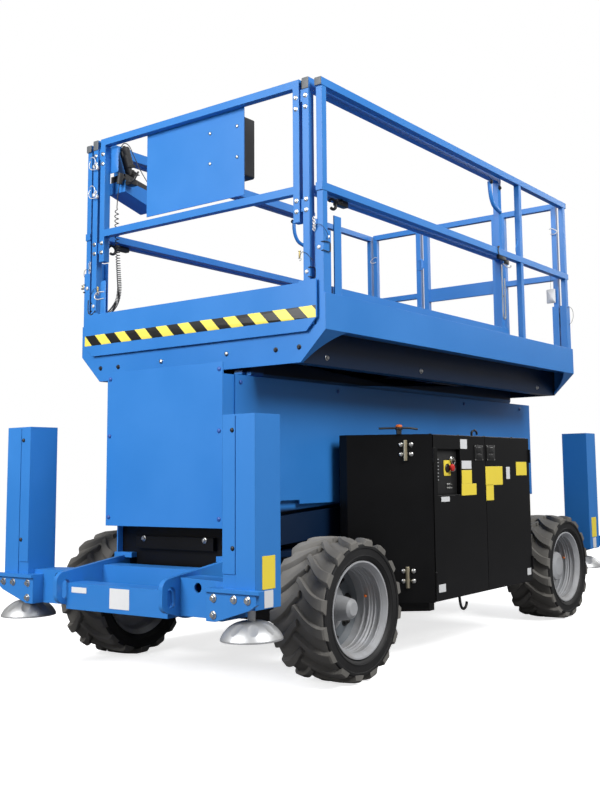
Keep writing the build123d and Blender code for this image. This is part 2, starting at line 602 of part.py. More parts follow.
# ------------------------------------------------------------ outriggers
def outrigger_beam():
    """Front left outrigger arm with its socket plate."""
    back = ARM_BOX_FRONT_X - ARM_BOX_DEPTH
    arm = plate_yz([
        (WEB_OUTER_Y, ARM_BOX_BOTTOM_Z), (COLUMN_INNER_Y, ARM_BOX_BOTTOM_Z), (COLUMN_INNER_Y, ARM_BOX_TOP_Z),
        (WEB_OUTER_Y, WEB_NOSE_Z),
    ], (back, ARM_BOX_FRONT_X))
    wall = ARM_BOX_WALL
    hollow_y = (WEB_OUTER_Y + wall, COLUMN_INNER_Y - wall)
    hollow_z = (ARM_BOX_BOTTOM_Z + wall, ARM_BOX_TOP_Z - wall)
    arm -= block((back + wall, ARM_BOX_FRONT_X - wall), hollow_y, hollow_z)
    hole = Pos(ARM_BOX_FRONT_X, WEB_OUTER_Y + 105, ARM_BOX_TOP_Z - 32) * Rot(0, 90, 0)
    arm -= hole * Cylinder(ARM_HOLE_RADIUS, 3 * wall)
    socket_outer = COLUMN_INNER_Y + COLUMN_WIDTH + 22
    socket = plate_yz([
        (SOCKET_INNER_Y, ARM_BOX_BOTTOM_Z), (SOCKET_INNER_Y + 52, ARM_BOX_BOTTOM_Z), (socket_outer - 36, 401),
        (socket_outer, 424), (socket_outer, SOCKET_TOP_Z - SOCKET_LEDGE),
        (SOCKET_INNER_Y, SOCKET_TOP_Z - SOCKET_LEDGE),
    ], (COLUMN_FRONT_X, SOCKET_FRONT_X))
    ledge_x = (COLUMN_FRONT_X, SOCKET_FRONT_X + 12)
    socket += block(ledge_x, (SOCKET_INNER_Y, socket_outer + 25), (SOCKET_TOP_Z - SOCKET_LEDGE, SOCKET_TOP_Z))
    ear = block((ARM_BOX_FRONT_X, COLUMN_FRONT_X), (SOCKET_INNER_Y, COLUMN_INNER_Y), (ARM_BOX_BOTTOM_Z, SOCKET_TOP_Z))
    return arm + socket + ear


def outrigger_column():
    """Front left outrigger column: square tube with a guide collar, a cap and a front strip."""
    x_range = (COLUMN_FRONT_X - COLUMN_DEPTH, COLUMN_FRONT_X)
    y_range = (COLUMN_INNER_Y, COLUMN_INNER_Y + COLUMN_WIDTH)
    column = block(x_range, y_range, (COLUMN_FOOT_Z, COLUMN_TOP_Z))
    strip_y = (COLUMN_INNER_Y - 1, COLUMN_INNER_Y + STRIP_WIDTH)
    column -= block((x_range[1] - STRIP_REBATE, x_range[1] + 1), strip_y, (SOCKET_TOP_Z, STRIP_FOOT_Z))
    groove_y = (strip_y[1], strip_y[1] + STRIP_REBATE)
    column -= block((x_range[1] - STRIP_REBATE, x_range[1] + 1), groove_y, (SOCKET_TOP_Z, COLUMN_TOP_Z - COLUMN_CAP))
    x_hollow = (x_range[0] + COLUMN_WALL, x_range[1] - COLUMN_WALL)
    y_hollow = (y_range[0] + COLUMN_WALL, y_range[1] - COLUMN_WALL)
    column -= block(x_hollow, y_hollow, (COLUMN_FOOT_Z + COLLAR_HEIGHT, COLUMN_TOP_Z - COLUMN_CAP))
    x_leg, y_leg = leg_ranges(SLIDE_GAP)
    return column - block(x_leg, y_leg, (COLUMN_FOOT_Z - 1, COLUMN_FOOT_Z + COLLAR_HEIGHT + 1))


def leg_ranges(gap):
    """X and Y ranges of the leg tube, grown by a gap."""
    x_mid = COLUMN_FRONT_X - COLUMN_DEPTH / 2
    y_mid = COLUMN_INNER_Y + COLUMN_WIDTH / 2
    x_range = (x_mid - LEG_DEPTH / 2 - gap, x_mid + LEG_DEPTH / 2 + gap)
    y_range = (y_mid - LEG_WIDTH / 2 - gap, y_mid + LEG_WIDTH / 2 + gap)
    return x_range, y_range


def leg_pad(x, y):
    """Dished spreader pad: a domed turning with a flat rim and shallow flutes round it."""
    bowl_z = PAD_RIM_Z + PAD_RIM
    rise = PAD_CROWN_Z - bowl_z
    outline = Polyline(
        (PAD_CROWN_RADIUS, PAD_CROWN_Z), (0, PAD_CROWN_Z), (0, PAD_RIM_Z), (PAD_RADIUS, PAD_RIM_Z),
        (PAD_RADIUS, bowl_z),
    )
    shoulder = ThreePointArc(
        (PAD_RADIUS, bowl_z), (PAD_RADIUS * 0.76, bowl_z + rise * 0.62), (PAD_CROWN_RADIUS, PAD_CROWN_Z),
    )
    dome = revolve(Plane.XZ * make_face(outline + shoulder), axis=Axis.Z)
    lean = degrees(atan2(rise, PAD_RADIUS - PAD_CROWN_RADIUS))
    flute = Rot(0, 90 + lean, 0) * Cylinder(PAD_FLUTE_RADIUS, PAD_RADIUS)
    flute = Pos(PAD_RADIUS * 0.9, 0, bowl_z + rise * 0.55 + PAD_FLUTE_RADIUS) * flute
    for index in range(PAD_FLUTES):
        dome -= Rot(0, 0, index * 360 / PAD_FLUTES) * flute
    return Pos(x, y, 0) * dome


def outrigger_leg():
    """Front left leg: inner tube, ankle and dished pad."""
    x_range, y_range = leg_ranges(0)
    x_mid = sum(x_range) / 2
    y_mid = sum(y_range) / 2
    tube = block(x_range, y_range, (LEG_FOOT_Z, LEG_TOP_Z))
    tube -= block(
        (x_range[0] + LEG_WALL, x_range[1] - LEG_WALL),
        (y_range[0] + LEG_WALL, y_range[1] - LEG_WALL),
        (LEG_FOOT_Z + 2 * LEG_WALL, LEG_TOP_Z + 1),
    )
    ankle = rod_z(x_mid, y_mid, ANKLE_RADIUS, (PAD_CROWN_Z - 10, LEG_FOOT_Z))
    return tube + ankle + leg_pad(x_mid, y_mid)


CORNERS = (
    # name, end, side
    ("front_left", 1, 1),
    ("front_right", 1, -1),
    ("rear_left", -1, 1),
    ("rear_right", -1, -1),
)


def corner_of(shape, end, side):
    """The front left shape, mirrored to another corner."""
    shape = side_of(shape, side)
    return shape if end > 0 else mirror(shape, about=Plane.YZ)


def four_corners(shape):
    """The front left shape at all four corners."""
    pair = both_sides(shape)
    return pair + mirror(pair, about=Plane.YZ)


def build_chassis():
    """Frame, covers and outriggers."""
    save(chassis_frame(), "chassis_frame")
    save(both_sides(side_wall()), "side_walls")
    save(front_panel(), "front_panel")
    save(front_bulkhead(), "front_bulkhead")
    save(four_corners(outrigger_beam()), "outrigger_beams")
    save(four_corners(outrigger_column()), "outrigger_columns")
    for name, end, side in CORNERS:
        save(corner_of(outrigger_leg(), end, side), f"outrigger_leg_{name}")


# ------------------------------------------------------------ side modules
def module_tray():
    """Left equipment box: bottom, top, back, bevelled front and rear end, open at the side."""
    outer = MODULE_OUTER_Y
    face = outer + SLIDE_GAP + DOOR
    sheet = MODULE_SHEET
    corner_x = MODULE_FRONT_X + DOOR_HINGE_RADIUS + 2
    plan = [
        (MODULE_REAR_X, MODULE_INNER_Y), (MODULE_BEVEL_X, MODULE_INNER_Y), (MODULE_BEVEL_X, MODULE_BEVEL_Y),
        (corner_x, face), (corner_x, outer), (MODULE_REAR_X, outer),
    ]
    tray = plate_xy(plan, (MODULE_BOTTOM_Z, MODULE_TOP_Z))
    hollow_plan = [
        (MODULE_REAR_X + sheet, MODULE_INNER_Y + sheet), (MODULE_BEVEL_X - sheet, MODULE_INNER_Y + sheet),
        (MODULE_BEVEL_X - sheet, MODULE_BEVEL_Y - sheet / 2), (corner_x - 2 * sheet, outer - sheet),
        (corner_x - 2 * sheet, outer + 1), (MODULE_REAR_X + sheet, outer + 1),
    ]
    tray -= plate_xy(hollow_plan, (MODULE_BOTTOM_Z + sheet, MODULE_TOP_Z - sheet))
    sill_plan = [
        (MODULE_BEVEL_X - 30, MODULE_INNER_Y + 30), (MODULE_BEVEL_X - 30, MODULE_BEVEL_Y),
        (corner_x - 10, outer - 25), (corner_x - 60, outer - 25), (corner_x - 60, MODULE_INNER_Y + 30),
    ]
    sill = plate_xy(sill_plan, (MODULE_BOTTOM_Z - MODULE_SILL, MODULE_BOTTOM_Z))
    hanger = block((-HANGER_HALF, HANGER_HALF), (FLANGE_Y, MODULE_INNER_Y), (WEB_TOP_Z - FLANGE, WEB_TOP_Z))
    return tray + sill + hanger


def module_door(rear_x, front_x, hinge_x):
    """Left side door between two X values, with its hinge barrels at one edge."""
    y_range = (MODULE_OUTER_Y + SLIDE_GAP, MODULE_OUTER_Y + SLIDE_GAP + DOOR)
    door = block((rear_x, front_x), y_range, (MODULE_BOTTOM_Z + 3, MODULE_TOP_Z - 3))
    outward = 1 if hinge_x > DOOR_SPLIT_X else -1
    for z in (MODULE_BOTTOM_Z + 110, MODULE_TOP_Z - 110):
        door += rod_z(hinge_x + outward, y_range[1] + 2, DOOR_HINGE_RADIUS, (z - 40, z + 40))
    return door


def battery_pack():
    """Left battery tray and cells as one plain mass."""
    foot = MODULE_BOTTOM_Z + MODULE_SHEET
    return block(BATTERY_X, (MODULE_INNER_Y + 25, MODULE_OUTER_Y - 40), (foot, foot + BATTERY_HEIGHT))


def ground_controls():
    """Ground control housing behind the window of the left front door."""
    low, high = CONTROL_WINDOW_Z
    rear, front = CONTROL_WINDOW_X
    y_range = (MODULE_OUTER_Y - 130, MODULE_OUTER_Y - FREE_GAP)
    box = block((rear - WINDOW_LAP, front + WINDOW_LAP), y_range, (low - WINDOW_LAP, high + WINDOW_LAP))
    post_x = ((rear + front) / 2 - 30, (rear + front) / 2 + 30)
    post_y = (y_range[0], y_range[0] + 60)
    return box + block(post_x, post_y, (MODULE_BOTTOM_Z + MODULE_SHEET, low - WINDOW_LAP))


def rear_ladder():
    """Entry ladder on the rear of the stack covers."""
    foot_x = SIDE_WALL_REAR_X - LADDER_STANDOFF
    ladder = Part()
    for y in (-LADDER_Y, LADDER_Y):
        y_range = (y - TUBE / 2, y + TUBE / 2)
        ladder += block((foot_x - TUBE / 2, foot_x + TUBE / 2), y_range, (LADDER_FOOT_Z, SIDE_WALL_TOP_Z))
    for rung in range(LADDER_RUNGS):
        z = LADDER_FOOT_Z + 35 + LADDER_PITCH * rung
        ladder += block((foot_x - TUBE / 2, foot_x + TUBE / 2), (-LADDER_Y, LADDER_Y), (z, z + 30))
    strap_x = SIDE_WALL_REAR_X - LADDER_STRAP
    for z in LADDER_STRAPS_Z:
        ladder += block((strap_x, SIDE_WALL_REAR_X), (FREE_GAP - SIDE_WALL_Y, SIDE_WALL_Y - FREE_GAP), (z, z + 50))
        ladder += both_sides(block((foot_x, strap_x), (LADDER_Y - 10, LADDER_Y + 10), (z, z + 50)))
    return ladder


def build_modules():
    """Side modules, their doors, batteries, ground controls and the ladder."""
    rear_door_span = (MODULE_REAR_X, DOOR_SPLIT_X - DOOR_GAP / 2)
    front_door_span = (DOOR_SPLIT_X + DOOR_GAP / 2, MODULE_FRONT_X)
    save(both_sides(module_tray()), "module_trays")
    for name, side in (("left", 1), ("right", -1)):
        front = module_door(*front_door_span, MODULE_FRONT_X)
        if side > 0:
            front -= block(CONTROL_WINDOW_X, (MODULE_OUTER_Y, MODULE_OUTER_Y + 2 * DOOR), CONTROL_WINDOW_Z)
        save(side_of(front, side), f"door_{name}_front")
        save(side_of(module_door(*rear_door_span, MODULE_REAR_X), side), f"door_{name}_rear")
    save(both_sides(battery_pack()), "battery_packs")
    save(ground_controls(), "ground_controls")
    save(rear_ladder(), "rear_ladder")


# ------------------------------------------------------------ scissor stack
def arm_bar(y_middle):
    """One closed arm tube along +X from its first pin, centred on a Y value."""
    reach = ARM_PIN_LENGTH + ARM_DEPTH
    y_range = (y_middle - ARM_WIDTH / 2, y_middle + ARM_WIDTH / 2)
    half = ARM_DEPTH / 2
    chamfer = ARM_CHAMFER
    outline = [
        (-half, -half + chamfer), (-half + chamfer, -half), (reach - half - chamfer, -half),
        (reach - half, -half + chamfer), (reach - half, half - chamfer), (reach - half - chamfer, half),
        (-half + chamfer, half), (-half, half - chamfer),
    ]
    return plate_xz(outline, y_range)


def arm_frame(outer):
    """Outer or inner pair of arms along +X, joined by their cross members."""
    y_bar = OUTER_ARM_Y if outer else INNER_ARM_Y
    inner_face = y_bar - ARM_WIDTH / 2
    bar = arm_bar(y_bar)
    pins = (0, ARM_PIN_LENGTH / 2, ARM_PIN_LENGTH)
    bore = ARM_PIN_RADIUS + RUNNING_FIT
    pin_tip = INNER_ARM_Y - ARM_WIDTH / 2 - 3
    frame = both_sides(bar)
    if outer:
        for x in (pins[0], pins[2]):
            frame += rod_y(x, 0, ARM_PIN_RADIUS, (-inner_face, inner_face))
        frame += both_sides(rod_y(pins[1], 0, ARM_PIN_RADIUS, (pin_tip, inner_face)))
    else:
        for x in pins:
            hole = rod_y(x, 0, bore, (inner_face - 1, inner_face + ARM_WIDTH + 1))
            frame -= both_sides(hole)
        for share in (CROSS_TUBE_SHARE, 1 - CROSS_TUBE_SHARE):
            frame += rod_y(share * ARM_PIN_LENGTH, 0, CROSS_TUBE_RADIUS, (-inner_face, inner_face))
    return frame


def level_z(level):
    """Height of the lower pins of a level, counted from 1."""
    return STACK_BASE_Z + (level - 1) * ARM_STOWED_RISE


def place_outer(shape, level):
    """Turn an arm drawn along +X to run from the lower front pin up to the rear."""
    turn = 180 + degrees(STOWED_ANGLE)
    return Pos(STACK_FRONT_X, 0, level_z(level)) * Rot(0, turn, 0) * shape


def place_inner(shape, level):
    """Turn an arm drawn along +X to run from the lower rear pin up to the front."""
    turn = -degrees(STOWED_ANGLE)
    return Pos(STACK_REAR_X, 0, level_z(level)) * Rot(0, turn, 0) * shape


def lift_fork():
    """Cross tube and two fork plates that hold the rod's eye, in arm coordinates."""
    inner_face = INNER_ARM_Y - ARM_WIDTH / 2
    tube_x = FORK_TUBE_SHARE * ARM_PIN_LENGTH
    eye_x = ROD_SHARE * ARM_PIN_LENGTH
    tube = rod_y(tube_x, 0, CROSS_TUBE_RADIUS, (-inner_face, inner_face))
    cheek_y = EYE_WIDTH / 2 + FREE_GAP
    outline = [(tube_x, -28), (eye_x, -50), (eye_x + 45, -50), (eye_x + 45, 50), (eye_x, 50), (tube_x, 28)]
    return tube + both_sides(plate_xz(outline, (cheek_y, cheek_y + 15)))


def build_stack():
    """Arm pairs of every level."""
    inner_face = INNER_ARM_Y - ARM_WIDTH / 2
    roller_y = (ARM_SIDE_GAP + INNER_ARM_Y + ARM_WIDTH / 2, OUTER_ARM_Y + 15)
    for level in range(1, ARM_LEVELS + 1):
        outer = arm_frame(True)
        inner = arm_frame(False)
        if level == 1:
            inner += rod_y(BARREL_SHARE * ARM_PIN_LENGTH, 0, CROSS_TUBE_RADIUS, (-inner_face, inner_face))
            plug = rod_y(0, 0, ARM_PIN_RADIUS + RUNNING_FIT, (inner_face + 1, roller_y[0]))
            inner += both_sides(plug + rod_y(0, 0, ROLLER_RADIUS, roller_y))
        if level == 2:
            inner += lift_fork()
        if level == ARM_LEVELS:
            track_y = (INNER_ARM_Y - ARM_WIDTH / 2, INNER_ARM_Y + ARM_WIDTH / 2)
            outer += both_sides(rod_y(ARM_PIN_LENGTH, 0, ROLLER_RADIUS, track_y))
        save(place_outer(outer, level), f"arms_outer_{level}")
        save(place_inner(inner, level), f"arms_inner_{level}")


# ------------------------------------------------------------ lift cylinder
def cylinder_axis():
    """Barrel pivot, rod eye, their distance and the axis elevation, in the stowed pose."""
    base = (
        STACK_REAR_X + BARREL_SHARE * ARM_PIN_LENGTH * cos(STOWED_ANGLE),
        STACK_BASE_Z + BARREL_SHARE * ARM_STOWED_RISE,
    )
    eye = (
        STACK_REAR_X + ROD_SHARE * ARM_PIN_LENGTH * cos(STOWED_ANGLE),
        level_z(2) + ROD_SHARE * ARM_STOWED_RISE,
    )
    span = hypot(eye[0] - base[0], eye[1] - base[1])
    return base, span, atan2(eye[1] - base[1], eye[0] - base[0])


def cylinder_span(angle):
    """Distance from barrel pivot to rod eye with the arms at an angle."""
    share = BARREL_SHARE - ROD_SHARE
    return ARM_PIN_LENGTH * hypot(share * cos(angle), (1 - share) * sin(angle))


def bar_along_x(radius, x_range):
    """Round bar along X."""
    low, high = x_range
    return Pos((low + high) / 2, 0, 0) * Rot(0, 90, 0) * Cylinder(radius, high - low)


def build_cylinder():
    """Lift cylinder barrel and rod, drawn along +X and turned into place."""
    base, span, elevation = cylinder_axis()
    stroke = cylinder_span(RAISED_ANGLE) - span
    barrel_end = span - ROD_EYE_RADIUS - GLAND
    piston_x = barrel_end - GLAND - PISTON - stroke - PISTON / 2
    place = Pos(base[0], 0, base[1]) * Rot(0, -degrees(elevation), 0)
    half = EYE_WIDTH / 2
    cap_x = EYE_RADIUS + 15
    barrel = bar_along_x(BARREL_RADIUS, (cap_x, barrel_end))
    barrel -= bar_along_x(BORE_RADIUS, (cap_x + 30, barrel_end - GLAND))
    barrel -= bar_along_x(ROD_RADIUS + RUNNING_FIT, (barrel_end - 2 * GLAND, barrel_end + 1))
    barrel += rod_y(0, 0, EYE_RADIUS, (-half, half)) + block((0, cap_x + 1), (-half, half), (-40, 40))
    barrel -= rod_y(0, 0, CROSS_TUBE_RADIUS + RUNNING_FIT, (-EYE_WIDTH, EYE_WIDTH))
    save(place * barrel, "lift_cylinder_barrel")
    rod = bar_along_x(ROD_RADIUS, (piston_x, span))
    rod += bar_along_x(BORE_RADIUS - RUNNING_FIT, (piston_x, piston_x + PISTON))
    rod += rod_y(span, 0, ROD_EYE_RADIUS, (-half, half))
    save(place * rod, "lift_cylinder_rod")
    print(f"cylinder span {span:.1f}, stroke {stroke:.1f}, elevation {degrees(elevation):.2f}")


# ------------------------------------------------------------ platform
def skirt():
    """Left toe board of the deck: an upright sheet with a lip folded in at its foot."""
    outer = DECK_HALF_WIDTH
    sheet = DECK_SHEET
    section = [
        (outer, TOE_BOARD_Z), (outer, SKIRT_BEND_Z), (outer - SKIRT_LIP, SKIRT_BEND_Z),
        (outer - SKIRT_LIP, SKIRT_BEND_Z + sheet), (outer - sheet, SKIRT_BEND_Z + sheet),
        (outer - sheet, TOE_BOARD_Z),
    ]
    return plate_yz(section, (DECK_REAR_X, DECK_FRONT_X))


def end_gusset():
    """Sloping gusset behind the front end plate, under the toe board, with a curved free edge."""
    fall = hypot(DECK_HALF_WIDTH - SKIRT_FOOT_Y, SKIRT_BEND_Z - SKIRT_FOOT_Z)
    inward = (0, (SKIRT_FOOT_Z - SKIRT_BEND_Z) / fall, (DECK_HALF_WIDTH - SKIRT_FOOT_Y) / fall)
    plane = Plane(origin=(DECK_FRONT_X, DECK_HALF_WIDTH, SKIRT_BEND_Z), x_dir=(-1, 0, 0), z_dir=inward)
    straight = Polyline((GUSSET_FOOT, fall), (0, fall), (0, 0), (GUSSET_LENGTH, 0))
    curve = ThreePointArc((GUSSET_LENGTH, 0), (GUSSET_LENGTH * 0.42, fall * 0.42), (GUSSET_FOOT, fall))
    return extrude(plane * make_face(straight + curve), amount=DECK_SHEET, dir=inward)


def rail_sleeve(x_range, post_x, post_y):
    """Square socket on the deck round a rail post."""
    half = POST / 2 + SLEEVE_WALL
    sleeve = block(x_range, (post_y - half, post_y + half), (DECK_FLOOR_Z, RAIL_SLEEVE_Z))
    gap = POST / 2 + SLIDE_GAP
    bore = block((post_x - gap, post_x + gap), (post_y - gap, post_y + gap), (DECK_FLOOR_Z, RAIL_SLEEVE_Z + 1))
    return sleeve - bore


def end_plate(x_range, top_z):
    """Deck end plate with sloping lower corners."""
    half = DECK_HALF_WIDTH
    outline = [
        (-half, top_z), (-half, SKIRT_BEND_Z), (-SKIRT_FOOT_Y, SKIRT_FOOT_Z), (SKIRT_FOOT_Y, SKIRT_FOOT_Z),
        (half, SKIRT_BEND_Z), (half, top_z),
    ]
    return plate_yz(outline, x_range)



def deck_fittings():
    """Left sleeves of the rail posts and the channel stub beside the toe board."""
    front_x = (DECK_FRONT_X - SLEEVE_DEPTH, DECK_FRONT_X)
    rear_x = (DECK_REAR_X + DECK_SHEET, DECK_REAR_X + DECK_SHEET + SLEEVE_DEPTH)
    fittings = rail_sleeve(front_x, FRONT_POST_X, POST_Y)
    for post_y in (POST_Y, REAR_POST_Y):
        fittings += rail_sleeve(rear_x, REAR_POST_X, post_y)
    stub_y = (POST_Y - 10, DECK_HALF_WIDTH - DECK_SHEET)
    stub = block(STUB_X, stub_y, (DECK_FLOOR_Z, STUB_TOP_Z))
    hollow_x = (STUB_X[0] + SLEEVE_WALL, STUB_X[1] + 1)
    stub -= block(hollow_x, (stub_y[0] - 1, stub_y[1] - SLEEVE_WALL), (DECK_FLOOR_Z, STUB_TOP_Z + 1))
    return fittings + stub


def platform_deck():
    """Main deck: floor, toe boards, end plates, side beams, pivot lugs and roller tracks."""
    floor_low = DECK_FLOOR_Z - DECK_SHEET
    inner = DECK_HALF_WIDTH - DECK_SHEET
    run = (DECK_REAR_X, DECK_FRONT_X)
    deck = block(run, (-inner, inner), (floor_low, DECK_FLOOR_Z))
    deck += end_plate((DECK_REAR_X, DECK_REAR_X + DECK_SHEET), TOE_BOARD_Z)
    deck += end_plate((DECK_FRONT_X - DECK_SHEET, DECK_FRONT_X), DECK_FLOOR_Z)
    beam = block(run, (DECK_BEAM_Y, SKIRT_FOOT_Y), (SKIRT_FOOT_Z, floor_low))
    beam -= block(
        (DECK_REAR_X + DECK_SHEET, DECK_FRONT_X - DECK_SHEET), (DECK_BEAM_Y - 1, SKIRT_FOOT_Y - DECK_SHEET),
        (SKIRT_FOOT_Z + DECK_SHEET, floor_low - DECK_SHEET),
    )
    lug_low = INNER_ARM_Y + ARM_WIDTH / 2 + FREE_GAP
    lug = block((STACK_FRONT_X - 45, STACK_FRONT_X + 45), (lug_low, lug_low + 30), (STACK_TOP_Z - 40, floor_low))
    lug += rod_y(STACK_FRONT_X, STACK_TOP_Z, ARM_PIN_RADIUS, (INNER_ARM_Y - ARM_WIDTH / 2 - 3, lug_low))
    track = block(
        (STACK_REAR_X - 70, ROLLER_FRONT_X + 70), (INNER_ARM_Y - ARM_WIDTH / 2, INNER_ARM_Y + ARM_WIDTH / 2),
        (STACK_TOP_Z + ROLLER_RADIUS + SLIDE_GAP, floor_low),
    )
    rear_gusset = Pos(DECK_REAR_X, 0, 0) * mirror(Pos(-DECK_FRONT_X, 0, 0) * end_gusset(), about=Plane.YZ)
    deck += both_sides(skirt() + beam + lug + track + end_gusset() + rear_gusset + deck_fittings())
    for x in DECK_CROSS_XS:
        deck += block((x - 25, x + 25), (-DECK_BEAM_Y, DECK_BEAM_Y), (floor_low - DECK_CROSS, floor_low))
    return deck


def tube_between(start, end, width, height):
    """Straight box tube member along one axis; start and end are centre points."""
    low = [min(a, b) for a, b in zip(start, end)]
    high = [max(a, b) for a, b in zip(start, end)]
    spans = [high[i] - low[i] for i in range(3)]
    run = spans.index(max(spans))
    half = [width / 2, width / 2, height / 2]
    if run == 2:
        half = [width / 2, width / 2, 0]
    half[run] = 0
    ranges = [(low[i] - half[i], high[i] + half[i]) for i in range(3)]
    return block(*ranges)


def side_rail():
    """Left guard rail of the main deck."""
    top = RAIL_TOP_Z - TOP_RAIL / 2
    mid = MID_RAIL_Z - MID_RAIL / 2
    rail = tube_between((DECK_REAR_X, POST_Y, top), (DECK_FRONT_X, POST_Y, top), TUBE, TOP_RAIL)
    rail += tube_between((DECK_REAR_X, POST_Y, mid), (DECK_FRONT_X, POST_Y, mid), TUBE, MID_RAIL)
    for x in SIDE_POSTS_X:
        rail += tube_between((x, POST_Y, DECK_FLOOR_Z), (x, POST_Y, RAIL_TOP_Z - TOP_RAIL), POST, 0)
    return rail



def rear_rail():
    """Rear guard rail: two fixed bays beside the gate opening, with the gate's hinge pins."""
    x = GATE_X
    inner_y = REAR_POST_Y
    top = RAIL_TOP_Z - TOP_RAIL / 2
    mid = MID_RAIL_Z - MID_RAIL / 2
    bay = tube_between((x, GATE_POST_Y, top), (x, inner_y, top), TUBE, TOP_RAIL)
    bay += tube_between((x, GATE_POST_Y, mid), (x, inner_y, mid), TUBE, MID_RAIL)
    bay += tube_between((x, GATE_POST_Y, DECK_FLOOR_Z), (x, GATE_POST_Y, RAIL_TOP_Z), TUBE, 0)
    bay += tube_between((x, inner_y, DECK_FLOOR_Z), (x, inner_y, RAIL_TOP_Z), POST, 0)
    rails = both_sides(bay)
    for z in GATE_HINGES_Z:
        tip = GATE_HINGE_LENGTH / 2 + GATE_HINGE_EAR
        rails += rod_z(GATE_HINGE_X, GATE_HINGE_Y, GATE_PIN_RADIUS, (z - tip, z + tip))
        for low in (z - tip, z + tip - GATE_HINGE_EAR + 1):
            ear_x = (GATE_HINGE_X - GATE_PIN_RADIUS, GATE_HINGE_X + GATE_PIN_RADIUS)
            rails += block(ear_x, (-GATE_POST_Y, GATE_HINGE_Y), (low, low + GATE_HINGE_EAR - 1))
    return rails


def entry_gate():
    """Gate leaf between the rear bays, hinged at its right edge."""
    x = GATE_X
    half = GATE_LEAF_HALF
    top = RAIL_TOP_Z - TOP_RAIL / 2
    leaf = tube_between((x, -half, top), (x, half, top), TUBE, TOP_RAIL)
    foot = TOE_BOARD_Z + GATE_LIFT
    for y in (-half + TUBE / 2, half - TUBE / 2):
        leaf += tube_between((x, y, foot), (x, y, top), TUBE, 0)
    for low in (foot, KICK_BAND_TOP_Z - KICK_BAND):
        leaf += block((x - 10, x + 10), (-half, half), (low, low + KICK_BAND))
    for z in GATE_HINGES_Z:
        z_range = (z - GATE_HINGE_LENGTH / 2, z + GATE_HINGE_LENGTH / 2)
        leaf += rod_z(GATE_HINGE_X, GATE_HINGE_Y, GATE_KNUCKLE_RADIUS, z_range)
        leaf += block((GATE_HINGE_X - 5, GATE_HINGE_X + 5), (GATE_HINGE_Y, 1 - half), z_range)
        leaf -= rod_z(GATE_HINGE_X, GATE_HINGE_Y, GATE_PIN_RADIUS + RUNNING_FIT, z_range)
    return leaf


def build_platform():
    """Main deck with its rails and gate."""
    save(platform_deck(), "platform_deck")
    save(both_sides(side_rail()), "platform_rails_side")
    save(rear_rail(), "platform_rails_rear")
    save(entry_gate(), "entry_gate")


# ------------------------------------------------------------ extension deck
def extension_deck():
    """Sliding deck: floor, front toe panel with raised ends and low side curbs."""
    half = EXTENSION_HALF_WIDTH
    floor_low = EXTENSION_FLOOR_Z - DECK_SHEET
    run = (EXTENSION_REAR_X, EXTENSION_FRONT_X)
    floor = block(run, (-half, half), (floor_low, EXTENSION_FLOOR_Z))
    edge = EXTENSION_PANEL_HALF
    step = edge - 100
    corner = EXTENSION_PANEL_CORNER
    foot = EXTENSION_PANEL_FOOT_Z
    panel = plate_yz([
        (-edge, EXTENSION_TOE_Z + 8), (-edge, foot + corner), (-edge + corner, foot), (edge - corner, foot),
        (edge, foot + corner), (edge, EXTENSION_TOE_Z + 8), (step, EXTENSION_TOE_Z + 8), (step - 5, EXTENSION_TOE_Z),
        (5 - step, EXTENSION_TOE_Z), (-step, EXTENSION_TOE_Z + 8),
    ], (EXTENSION_FRONT_X, EXTENSION_FRONT_X + DECK_SHEET))
    curb = block(run, (half - DECK_SHEET, half), (EXTENSION_FLOOR_Z, EXTENSION_TOE_Z - 5))
    runner = block(run, (half - 60, half - 10), (DECK_FLOOR_Z + SLIDE_GAP, floor_low))
    return floor + panel + both_sides(curb + runner) + cord_socket()


def extension_rails():
    """Guard rails of the sliding deck: both sides and the bolted-on front frame."""
    top = EXTENSION_RAIL_TOP_Z - EXTENSION_TOP_RAIL / 2
    mid = MID_RAIL_Z - MID_RAIL / 2
    front = EXTENSION_FRONT_X - TUBE / 2
    rear = EXTENSION_REAR_X + TUBE / 2
    y = EXTENSION_RAIL_Y
    side = tube_between((EXTENSION_REAR_X, y, top), (EXTENSION_FRONT_X, y, top), TUBE, EXTENSION_TOP_RAIL)
    side += tube_between((EXTENSION_REAR_X, y, mid), (EXTENSION_FRONT_X, y, mid), TUBE, MID_RAIL)
    for x in (front, rear):
        side += tube_between((x, y, EXTENSION_FLOOR_Z), (x, y, top), TUBE, 0)
    frame_y = FRONT_FRAME_POST_Y
    side += tube_between((front, frame_y, FRONT_FRAME_FOOT_Z), (front, frame_y, top), TUBE, 0)
    for z in (FRONT_FRAME_FOOT_Z + 50, EXTENSION_RAIL_TOP_Z - 110):
        side += block((front - 10, front + 10), (frame_y, y), (z, z + 60))
    rails = both_sides(side)
    bar_y = frame_y + TUBE / 2
    top_z = EXTENSION_RAIL_TOP_Z - TUBE / 2
    rails += block((front - TUBE / 2, front + TUBE / 2), (-bar_y, bar_y), (top_z - TUBE / 2, top_z + TUBE / 2))
    rails += tube_between((front, -frame_y, mid), (front, frame_y, mid), TUBE, MID_RAIL)
    return rails


def front_sheet():
    """Sheet that hangs behind the front rail."""
    x = EXTENSION_FRONT_X - TUBE - SLIDE_GAP
    return block((x - FRONT_SHEET, x), FRONT_SHEET_Y, FRONT_SHEET_Z)


def manual_box():
    """Closed document box with rounded edges on the back of the front sheet."""
    x = EXTENSION_FRONT_X - TUBE - SLIDE_GAP - FRONT_SHEET
    box = block((x - MANUAL_BOX_DEPTH, x), MANUAL_BOX_Y, MANUAL_BOX_Z)
    return fillet(box.edges().filter_by(Axis.X), MANUAL_BOX_RADIUS)


